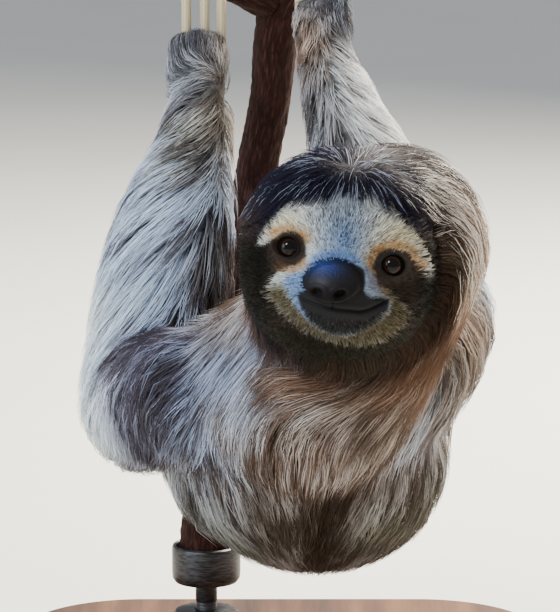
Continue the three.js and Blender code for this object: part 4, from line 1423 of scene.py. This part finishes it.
# name of a piece: the limbs it covers, the side of the middle line, the slot, locks, lock length, hair width
BODY_COATS = {
    "coat_neck": (("neck",), 0, "coat_brown", 1800, 32, 0.5),
    "coat_back_right": (("trunk",), -1, "coat_brown", 1740, 44, 0.56),
    "coat_back_left": (("trunk",), 1, "coat_brown", 1650, 44, 0.56),
    "coat_tail": (("tail",), 0, "coat_brown", 150, 22, 0.6),
    "coat_upper_arm_right": (("upper_arm_right",), 0, "coat_brown", 840, 42, 0.54),
    "coat_upper_arm_left": (("upper_arm_left",), 0, "coat_brown", 630, 42, 0.54),
    "coat_arm_right": (("forearm_right", "hand_right", "finger_right"), 0, "coat_pale", 1730, 38, 0.52),
    "coat_arm_left": (("forearm_left", "hand_left", "finger_left"), 0, "coat_pale", 1300, 36, 0.52),
    "coat_leg_right": (("thigh_right", "shank_right", "foot_right"), 0, "coat_pale", 660, 38, 0.62),
    "coat_leg_left": (("thigh_left", "shank_left", "foot_left"), 0, "coat_pale", 660, 38, 0.62),
}


def coat_of_body(name, material, density, length_scale):
    """Long locks over one part of the body, shorter and finer where the coat is thin, as on hands and feet."""
    starts, half, _, locks, length, width = BODY_COATS[name]
    seed = 300 + 7 * list(BODY_COATS).index(name)

    def weigh(middle, label):
        side = np.ones(len(middle)) if not half else (half * (middle[:, 0] - TRUNK_MIDDLE) > 0)
        return has_label(label, *starts) * side * mix(1.9, 1.0, smooth(3, 9, animal().depth_at(middle)))

    roots = scatter(int(locks * density), seed, weigh)
    draw = np.random.default_rng(seed + 1)
    depth = animal().depth_at(roots)
    lengths = length * length_scale * np.clip(depth / 9.0, 0.16, 1.05) * draw.uniform(0.8, 1.15, len(roots))
    lifts = depth * draw.uniform(0.82, 1.1, len(roots))
    hood = name == "coat_neck"
    return coat_piece(name, roots, names_of(*starts), lengths, lifts, width, LOCK_HAIRS, 4.0 if hood else 2.7, 3,
                      seed + 2, material, drift=0.05 if hood else 0.09, gather=0.12 if hood else 0.35,
                      wave=0.2 if hood else 0.4, glints=crest_glints(roots) if hood else None)


def crest_glints(roots):
    """The share of pale hairs on the crest of the hood, a bell across a line, and their colour: partly the hair's own
    pale tips, partly a painted highlight of sunlight.
    """
    across, out, up = to_face(roots).T
    near = bell(line_distance(across, up, CREST["line"]), CREST["half"])
    share = smooth(-82, -64, out) * CREST["share"] * near
    return share, np.broadcast_to(np.array(CREST["tone"]), roots.shape)


def coat_of_crown(material, density):
    """Hair of the crown, the sides of the head and the throat, longer than the face's and parted at a whorl."""
    def weigh(middle, label):
        return (label == HEAD_LABEL) * (1 - face_zone(middle))

    roots = scatter(int(2300 * density), 401, weigh)
    draw = np.random.default_rng(402)
    ways = unit(to_face(roots) - HEAD_CENTRE)
    lengths = mix(30.0, 16.0, smooth(-0.3, 0.3, ways[:, 1])) * draw.uniform(0.8, 1.2, len(roots))
    lifts = animal().depth_at(roots) * draw.uniform(0.9, 1.2, len(roots))
    from_whorl = np.arccos(np.clip(ways @ WHORL_WAY, -1, 1))
    # painted highlights: a bluish sheen on a few hairs over the crown's top and round the whorl, and the crest's pale
    # ones
    glints = 0.03 * smooth(0.1, 0.6, ways[:, 2]) + 0.17 * bell(from_whorl, 0.3)
    crest, pale = crest_glints(roots)
    colours = np.where((crest > glints)[:, None], pale, CROWN_GLINT)
    return coat_piece("coat_crown", roots, [], lengths, lifts, 0.38, 5, 1.8, 3, 403, material, shadow=0.75,
                      drift=0.06, gather=0.15, wave=0.15, glints=(np.maximum(glints, crest), colours), sample=0.6)


# --- eyes and claws

def eye_piece(side, material):
    """An eye: a ball whose front swells where the cornea is. Rings of points run from the gaze's axis back, at angle
    t; the radius is that of the ball plus a bell over t."""
    rings, sides = 40, 48
    angle = np.linspace(0, np.pi, rings)[1:-1]
    turn = np.linspace(0, 2 * np.pi, sides, endpoint=False)
    radius = EYE_RADIUS + 0.35 * np.exp(-(angle / 0.62) ** 4)
    grid = np.stack((np.sin(angle)[:, None] * np.cos(turn), np.repeat(np.cos(angle)[:, None], sides, 1),
                     np.sin(angle)[:, None] * np.sin(turn)), axis=-1) * radius[:, None, None]
    ends = np.array(((0, EYE_RADIUS + 0.35, 0), (0, -EYE_RADIUS, 0)))
    local = np.vstack((grid.reshape(-1, 3), ends)) + EYES[side]
    triangles = close_tube(len(angle), sides, len(local) - 2)[:, ::-1]
    columns = {"ring": by_ring(angle, sides, (0.0, np.pi)), "streak": by_side(np.abs(turn - np.pi), len(angle))}
    return mesh_object(f"eye_{side}", from_face(local), triangles, material, columns)


def tube(path, radii, sides, outward=(0.0, 1.0, 0.0)):
    """Points of a tube: rings square to a path, turned as little as may be from one to the next, and its frames."""
    run = unit(np.gradient(path, axis=0))
    across = np.empty_like(run)
    held = unit(flat_to(np.array(outward), run[0]))
    for row, along in enumerate(run):
        across[row] = held = unit(flat_to(held, along))
    second = np.cross(run, across)
    turn = np.linspace(0, 2 * np.pi, sides, endpoint=False)
    wide, deep = radii
    points = path[:, None] + np.cos(turn)[:, None] * (across * wide[:, None])[:, None] \
        + np.sin(turn)[:, None] * (second * deep[:, None])[:, None]
    return points, turn


STEM = {"foot": (-34, 121, 39.3, 12.4), "low": (-34, 121, 58, 12.4), "feet": (-26.3, 108, 110.2, 10.3),
        "knee": (-18.8, 98, 167.2, 9.8), "mid": (-12.4, 88, 218.3, 9.5), "high": (-4.4, 76, 264, 9.2),
        "fork": (1.7, 63, 306, 10.0), "bend": (17.7, 54.5, 325, 8.6), "end": (47, 49, 333, 8.0)}
BOUGH = {"root": (-3, 61, 309, 9.4), "hand": (-34.5, 50, 322.5, 8.6), "end": (-64, 46, 326, 7.8)}
BOUGH_RADIUS = 8.6
STEM_RADIUS = 9.0
CLAW_GAP = 0.6
CLAW_ROOT = 4.0  # how far a claw goes on into its finger
# claws: radius at root and tip, length of the straight lead, degrees round the branch, and the middle one's place on
# the branch (along X for a hand, along Z for a foot) with the distance to its neighbours
HAND_CLAW = {"thick": 2.5, "tip": 0.8, "lead": {"right": 31, "left": 16}, "wrap": 165,
             "middle": {"right": -34.5, "left": 17.7}, "apart": 6.6}
FOOT_CLAW = {"thick": 2.2, "tip": 0.8, "lead": {"right": 4, "left": 4}, "wrap": 120,
             "middle": {"right": 127, "left": 152}, "apart": 6.2}
LEAD_STEPS, ARC_STEPS, BEND_PASSES = 12, 27, 6


def branch_at(stations, axis, value):
    """The place and direction of a branch where a plane square to one axis cuts it."""
    path = path_through(tuple(stations.values()), 60)[:, :3]
    run = unit(np.gradient(path, axis=0))
    row = np.argmin(np.abs(path[:, axis] - value))
    return path[row], run[row]


def claw_path(kind, side, digit):
    """A claw's middle line with its thickness: a lead out of the fingertip, then an arc round the branch."""
    if kind == "hand":
        stations = BOUGH if side == "right" else STEM
        centre, along = branch_at(stations, 0, HAND_CLAW["middle"][side] + digit * HAND_CLAW["apart"])
        out = unit(flat_to(np.array((0.0, -1.0, 0.0)), along))
        over = unit(np.cross(out, along))
        over = over if over[2] > 0 else -over
        size, reach = HAND_CLAW, BOUGH_RADIUS + 0.9 + CLAW_GAP
    else:
        centre, along = branch_at(STEM, 2, FOOT_CLAW["middle"][side] + digit * FOOT_CLAW["apart"])
        out = unit(flat_to(np.array((-1.0 if side == "right" else 1.0, 0.0, 0.0)), along))
        over = unit(flat_to(np.cross(along, out), along))
        over = over if over[1] > 0 else -over
        size, reach = FOOT_CLAW, STEM_RADIUS + 1.3 + CLAW_GAP
    share = np.linspace(0, 1, ARC_STEPS)
    thick = mix(size["thick"], size["tip"], share ** 1.6)
    angle = np.radians(size["wrap"]) * share
    arc = centre + (reach + thick)[:, None] * (np.cos(angle)[:, None] * out + np.sin(angle)[:, None] * over)
    lead = np.linspace(1, 0, LEAD_STEPS, endpoint=False)[:, None]
    down = np.array((0.0, 0.0, 1.0)) if kind == "hand" else over
    back = centre + (reach + size["thick"]) * out - lead * (size["lead"][side] + CLAW_ROOT) * down
    bend = np.vstack((back, arc))
    for _ in range(BEND_PASSES):
        bend[1:-1] = (bend[:-2] + bend[1:-1] + bend[2:]) / 3
    return bend, np.concatenate((np.full(LEAD_STEPS, size["thick"]), thick)), np.cross(out, over)


def claw_piece(kind, side, digit, material):
    """One claw: an oval tube along its path that thins to a blunt point, flatter inside the hook."""
    path, thick, facing = claw_path(kind, side, digit)
    sides = 14
    shape = thick.copy()
    shape[-1] *= 0.55
    points, turn = tube(path, (shape * 0.82, shape * 0.97), sides, facing)
    run = unit(path[-1] - path[-2])
    ends = np.array((path[0], path[-1] + run * thick[-1] * 0.8))
    flat = np.vstack((points.reshape(-1, 3), ends))
    faces = close_tube(len(path), sides, len(flat) - 2)
    columns = {"along": by_ring(np.linspace(0, 1, len(path)), sides),
               "around": by_side(np.abs(turn - np.pi), len(path))}
    return mesh_object(f"{kind}_claw_{side}_{digit + 2}", flat, faces, material, columns)


# --- the perch and its stand

CUT_RINGS = (0.96, 0.8, 0.55, 0.28)  # radii of the rings across a cut end, as shares of the branch's
CUT_RISE = 0.9  # how far the middle of a cut end stands out
STAND_AXIS = (-34.0, 121.0)
SHARP_EDGE = np.radians(30)  # an edge of the stand with a greater angle stays crisp
BOARD = {"wide": 250.0, "long": 330.0, "thick": 18.0, "corner": 60.0}


def branch_surface(stations, seed, sides=72, per_span=26):
    """A branch: rings along its path whose radius is that of the wood, lessened by long ridges, knots and scales of
    bark, all as waves of the angle round it and the length along it; the two ends are cut flat and a little round."""
    path = path_through(tuple(stations.values()), per_span)
    middle, radius = path[:, :3], path[:, 3]
    length = np.concatenate(([0.0], np.cumsum(np.linalg.norm(np.diff(middle, axis=0), axis=1))))
    points, turn = tube(middle, (radius, radius), sides)
    cells = np.stack(np.broadcast_arrays(np.cos(turn) * 9, np.sin(turn) * 9, length[:, None] * 0.28), axis=-1)
    cells = cells.reshape(-1, 3)
    ridge = waves(cells, 6.0, seed) * 0.30 + waves(cells, 2.6, seed + 1) * 0.22 + waves(cells, 1.3, seed + 2) * 0.10
    relief = np.clip(ridge, -1.2, 0.6).reshape(len(middle), sides) - 0.35
    outward = points - middle[:, None]
    points = points + unit(outward) * relief[..., None]
    caps, tips = [], []
    for row, before in ((0, 1), (-1, -2)):
        run = unit(middle[row] - middle[before])
        caps.append([middle[row] + (points[row] - middle[row]) * inner + run * CUT_RISE * (1 - inner ** 2)
                     for inner in CUT_RINGS])
        tips.append(middle[row] + run * (CUT_RISE + 0.05))
    flat = np.vstack([*caps[0][::-1], points.reshape(-1, 3), *caps[1], tips])
    extra = len(CUT_RINGS)
    rings = len(middle) + 2 * extra
    faces = close_tube(rings, sides, len(flat) - 2)
    core = np.concatenate((CUT_RINGS[::-1], np.ones(len(middle)), CUT_RINGS))
    cut = np.concatenate((np.ones(extra), np.zeros(len(middle)), np.ones(extra)))
    extent = np.concatenate((np.zeros(extra), length, np.full(extra, length[-1])))
    columns = {"ring": by_ring(core, sides, (0, 0)), "cut": by_ring(cut, sides, (1, 1)),
               "around_x": by_side(np.cos(turn), rings), "around_y": by_side(np.sin(turn), rings),
               "along": by_ring(extent / 10, sides, (0, length[-1] / 10))}
    return flat, faces, columns


def lathe(rows, sides):
    """Rings of points, one for each row: its radius and height carried round the stand's upright line."""
    turn = np.linspace(0, 2 * np.pi, sides, endpoint=False)
    rings = np.broadcast_arrays(STAND_AXIS[0] + rows[:, :1] * np.cos(turn),
                                STAND_AXIS[1] + rows[:, :1] * np.sin(turn), rows[:, 1:])
    return np.stack(rings, axis=-1).reshape(-1, 3)


def turned(profile, sides=64):
    """A turned shape with a hole: a closed profile of radius and height."""
    rows = np.asarray(profile, float)
    quads = ring_faces(len(rows) + 1, sides) % (len(rows) * sides)
    return lathe(rows, sides), np.vstack((quads[:, [0, 1, 2]], quads[:, [0, 2, 3]]))


def capped(profile, sides=64):
    """A turned shape whose profile starts and ends on its axis."""
    rows = np.asarray(profile, float)
    ends = np.array([(*STAND_AXIS, rows[0, 1]), (*STAND_AXIS, rows[-1, 1])])
    flat = np.vstack((lathe(rows[1:-1], sides), ends))
    return flat, close_tube(len(rows) - 2, sides, len(flat) - 2)


def board_shape():
    """The board: one rounded rectangle after another up its moulded edge, each drawn in by its step of the moulding,
    then rings to the middle of the top and the underside."""
    turn = np.linspace(0, 2 * np.pi, 160, endpoint=False)
    corner = BOARD["corner"]
    straight = np.array((BOARD["wide"] / 2 - corner, BOARD["long"] / 2 - corner))
    way = np.column_stack((np.cos(turn), np.sin(turn)))
    sign = np.where(np.abs(way) < 1e-9, 0, np.sign(way))
    steps = ((110, 0.0), (40, 0.0), (3.0, 0.0), (0.7, 0.6), (0.0, 2.2), (0.0, 8.0), (0.5, 9.2), (2.6, 10.0),
             (3.0, 10.8), (3.2, 13.0), (4.2, 15.6), (6.4, 17.3), (9.0, 18.0), (40, 18.0), (110, 18.0))
    rings = []
    for inset, height in steps:
        if inset < corner:
            spot = sign * straight + way * (corner - inset)
        else:
            spot = (sign * straight + way * 0.01) * max(0.02, 1 - (inset - corner) / 70)
        rings.append(np.column_stack((spot, np.full(len(turn), height))))
    ends = np.array(((0, 0, 0.0), (0, 0, BOARD["thick"])))
    flat = np.vstack((*rings, ends))
    return flat, close_tube(len(steps), len(turn), len(flat) - 2)


def stand_shapes():
    """The stand's pieces: name, shape and slot."""
    cup = ((0.0, 36.0), (11.0, 36.0), (14.4, 36.6), (15.6, 38.4), (15.8, 41.0), (15.8, 52.2), (15.4, 53.4),
           (14.7, 54.0), (13.9, 53.4), (13.6, 52.4), (13.6, 39.0), (0.0, 39.0))
    collar = ((5.3, 18.3), (14.6, 18.3), (15.0, 18.8), (15.0, 21.4), (14.2, 22.5), (12.4, 23.0), (9.0, 23.2),
              (5.8, 23.3), (5.3, 23.1))
    rod = ((0.0, 18.3), (5.0, 18.3), (5.0, 26.0), (4.8, 26.4), (4.8, 27.0), (5.0, 27.4), (5.0, 35.7), (0.0, 35.7))
    return (("stand_base", board_shape(), "stand_wood"), ("stand_rod", capped(rod), "stand_steel"),
            ("stand_collar", turned(collar), "stand_steel"),
            ("stand_cup", capped(cup), "stand_steel"))


# --- the studio

FLOOR_HALF = 9000.0
# the camera's lens and sensor in millimetres, its place in metres, its tilt in degrees and how far it sees
LENS = {"focal": 187.55, "sensor": 36.0, "place": (0.0, -1.30634, 0.41669), "tilt": 80.0, "far": 50.0}
FILL_TONE = (0.86, 0.9, 0.95, 1.0)
# each light: its place, what it faces, the side of its square in metres and its colour
LIGHTS = {
    "key": ((-0.75, -1.3, 1.25), (0.02, -0.08, 0.2), 0.4, (0.95, 0.975, 1.0)),
    "sky": ((-1.5, -0.9, 0.7), (0.0, -0.08, 0.18), 0.9, (0.64, 0.82, 1.0)),
    "rim": ((0.8, 0.95, 1.3), (0.02, -0.12, 0.22), 0.45, (1.0, 0.9, 0.76)),
}


def studio_light(name, power):
    """A square soft light that faces its target."""
    place, target, size, tone = LIGHTS[name]
    lamp = bpy.data.lights.new(name, "AREA")
    lamp.size = size
    lamp.energy = power
    lamp.color = tone
    light = placed(name, lamp)
    light.location = place
    light.rotation_euler = (Vector(place) - Vector(target)).to_track_quat("Z", "Y").to_euler()


def studio_camera():
    """The camera, level from side to side and tilted down."""
    lens = bpy.data.cameras.new("camera")
    lens.lens = LENS["focal"]
    lens.sensor_width = LENS["sensor"]
    lens.clip_end = LENS["far"]
    camera = placed("camera", lens)
    camera.location = LENS["place"]
    camera.rotation_euler = (np.radians(LENS["tilt"]), 0.0, 0.0)
    return camera


# --- settings, operators and panel

class SlothCoatSettings(bpy.types.PropertyGroup):
    """What a user may change of the coat"""
    density: FloatProperty(name="Density", description="Locks of hair, as a share of the full coat", default=1.0,
                           min=0.05, max=1.0, subtype="FACTOR")
    length: FloatProperty(name="Length", description="Length of the locks on the body, as a share of the full length",
                          default=1.0, min=0.4, max=1.1, subtype="FACTOR")


class SlothEyeSettings(bpy.types.PropertyGroup):
    """What a user may change of the eyes"""
    iris: FloatVectorProperty(name="Iris", description="Colour of the iris", subtype="COLOR", size=3,
                              default=shade(42, 22, 10), min=0.0, max=1.0)
    pupil: FloatProperty(name="Pupil", description="Size of the pupil, as an angle from the gaze", default=0.41,
                         min=0.1, max=0.6, subtype="ANGLE")


class SlothPerchSettings(bpy.types.PropertyGroup):
    """What a user may change of the branch"""
    bark: FloatVectorProperty(name="Bark", description="Colour of the bark", subtype="COLOR", size=3,
                              default=shade(42, 17, 10), min=0.0, max=1.0)


class SlothStudioSettings(bpy.types.PropertyGroup):
    """What a user may change of the studio"""
    floor: FloatVectorProperty(name="Floor", description="Colour of the floor", subtype="COLOR", size=3,
                               default=shade(222, 222, 218), min=0.0, max=1.0)
    key: FloatProperty(name="Key light", description="Power of the soft key light", default=23.0, min=0.0,
                       max=500.0, unit="POWER")
    sky: FloatProperty(name="Sky light", description="Power of the cool light from the side", default=21.0, min=0.0,
                       max=500.0, unit="POWER")
    rim: FloatProperty(name="Rim light", description="Power of the warm light from behind", default=160.0, min=0.0,
                       max=500.0, unit="POWER")
    fill: FloatProperty(name="Fill", description="Strength of the even light all round", default=0.6, min=0.0,
                        max=3.0)


FLESH_NODES = ("head", "nose", "neck", "trunk", "tail") + tuple(
    f"{part}_{side}" for side in SIDES for part in ("upper_arm", "forearm", "hand", "thigh", "shank", "foot"))


class SLOTH_OT_skin(bpy.types.Operator):
    """Builds the one skin of the whole animal"""
    bl_idname = "sloth.skin"
    bl_label = "Skin"

    def execute(self, context):
        dress(skin_piece(skin_finish()), "nose_skin", *FLESH_NODES)
        return {"FINISHED"}


class SLOTH_OT_coat(bpy.types.Operator):
    """Grows the coat over the skin, one piece for each part of the body"""
    bl_idname = "sloth.coat"
    bl_label = "Coat"

    def execute(self, context):
        settings = context.scene.sloth_coat
        density = settings.density * 1.0
        material = coat_finish()
        for side in SIDES:
            dress(coat_of_face(side, material, density), "coat_dark")
        dress(coat_of_crown(material, density), "coat_dark")
        for name, row in BODY_COATS.items():
            dress(coat_of_body(name, material, density, settings.length), row[2])
        return {"FINISHED"}


class SLOTH_OT_eyes(bpy.types.Operator):
    """Sets both eyes behind their lids"""
    bl_idname = "sloth.eyes"
    bl_label = "Eyes"

    def execute(self, context):
        settings = context.scene.sloth_eyes
        material = eye_finish(settings.iris, settings.pupil)
        for side in SIDES:
            dress(eye_piece(side, material), "eye", f"eye_{side}")
        return {"FINISHED"}


class SLOTH_OT_claws(bpy.types.Operator):
    """Hooks three claws of each hand and foot round the branch"""
    bl_idname = "sloth.claws"
    bl_label = "Claws"

    def execute(self, context):
        material = claw_finish()
        for kind in ("hand", "foot"):
            for side in SIDES:
                for digit in (-1, 0, 1):
                    piece = claw_piece(kind, side, digit, material)
                    dress(piece, "claw", f"{kind}_claw_{side}_{digit + 2}")
        return {"FINISHED"}


class SLOTH_OT_branch(bpy.types.Operator):
    """Makes the forked branch that the animal hangs from"""
    bl_idname = "sloth.branch"
    bl_label = "Branch"

    def execute(self, context):
        material = bark_finish(context.scene.sloth_perch.bark)
        for name, stations, seed in (("branch_stem", STEM, 51), ("branch_bough", BOUGH, 61)):
            points, faces, columns = branch_surface(stations, seed)
            dress(mesh_object(name, points, faces, material, columns), "bark", name)
        return {"FINISHED"}


class SLOTH_OT_stand(bpy.types.Operator):
    """Makes the board, rod, collar and cup that hold the branch"""
    bl_idname = "sloth.stand"
    bl_label = "Stand"

    def execute(self, context):
        finishes = {"stand_wood": wood_finish(), "stand_steel": steel_finish()}
        for name, (points, faces), slot in stand_shapes():
            piece = mesh_object(name, points, faces, finishes[slot])
            piece.data.set_sharp_from_angle(angle=SHARP_EDGE)
            dress(piece, slot, name)
        return {"FINISHED"}


class SLOTH_OT_studio(bpy.types.Operator):
    """Lays the floor and sets the lights and the camera"""
    bl_idname = "sloth.studio"
    bl_label = "Studio"

    def execute(self, context):
        settings = context.scene.sloth_studio
        corners = FLOOR_HALF * np.array(((-1, -1, 0), (1, -1, 0), (1, 1, 0), (-1, 1, 0)), float)
        floor = mesh_object("studio_floor", corners, ((0, 1, 2, 3),), floor_finish(settings.floor))
        for name in LIGHTS:
            studio_light(name, getattr(settings, name))
        world = bpy.data.worlds.new("studio")
        world.use_nodes = True
        back = world.node_tree.nodes["Background"]
        back.inputs["Color"].default_value = FILL_TONE
        back.inputs["Strength"].default_value = settings.fill
        context.scene.world = world
        context.scene.camera = studio_camera()
        return {"FINISHED"}


class SLOTH_PT_panel(bpy.types.Panel):
    """The sloth's pieces and what may be changed of them"""
    bl_label = "Sloth"
    bl_idname = "SLOTH_PT_panel"
    bl_space_type = "VIEW_3D"
    bl_region_type = "UI"
    bl_category = "Sloth"

    def draw(self, context):
        rows = (("sloth_coat", ("density", "length"), ("sloth.skin", "sloth.coat")),
                ("sloth_eyes", ("iris", "pupil"), ("sloth.eyes", "sloth.claws")),
                ("sloth_perch", ("bark",), ("sloth.branch", "sloth.stand")),
                ("sloth_studio", ("floor", "key", "sky", "rim", "fill"), ("sloth.studio",)))
        for group, names, operators in rows:
            box = self.layout.box()
            for name in names:
                box.prop(getattr(context.scene, group), name)
            for operator in operators:
                box.operator(operator)


GROUPS = {"sloth_coat": SlothCoatSettings, "sloth_eyes": SlothEyeSettings, "sloth_perch": SlothPerchSettings,
          "sloth_studio": SlothStudioSettings}
OPERATORS = (SLOTH_OT_skin, SLOTH_OT_coat, SLOTH_OT_eyes, SLOTH_OT_claws, SLOTH_OT_branch, SLOTH_OT_stand,
             SLOTH_OT_studio)


def register():
    """Adds the settings, operators and panel to Blender."""
    for kind in (*GROUPS.values(), *OPERATORS, SLOTH_PT_panel):
        bpy.utils.register_class(kind)
    for name, kind in GROUPS.items():
        setattr(bpy.types.Scene, name, PointerProperty(type=kind))


def unregister():
    """Takes them away again."""
    for name in GROUPS:
        delattr(bpy.types.Scene, name)
    for kind in reversed((*GROUPS.values(), *OPERATORS, SLOTH_PT_panel)):
        bpy.utils.unregister_class(kind)


def main():
    """Builds the whole model."""
    register()
    bpy.ops.sloth.skin()
    bpy.ops.sloth.coat()
    bpy.ops.sloth.eyes()
    bpy.ops.sloth.claws()
    bpy.ops.sloth.branch()
    bpy.ops.sloth.stand()
    bpy.ops.sloth.studio()


if __name__ == "__main__":
    main()
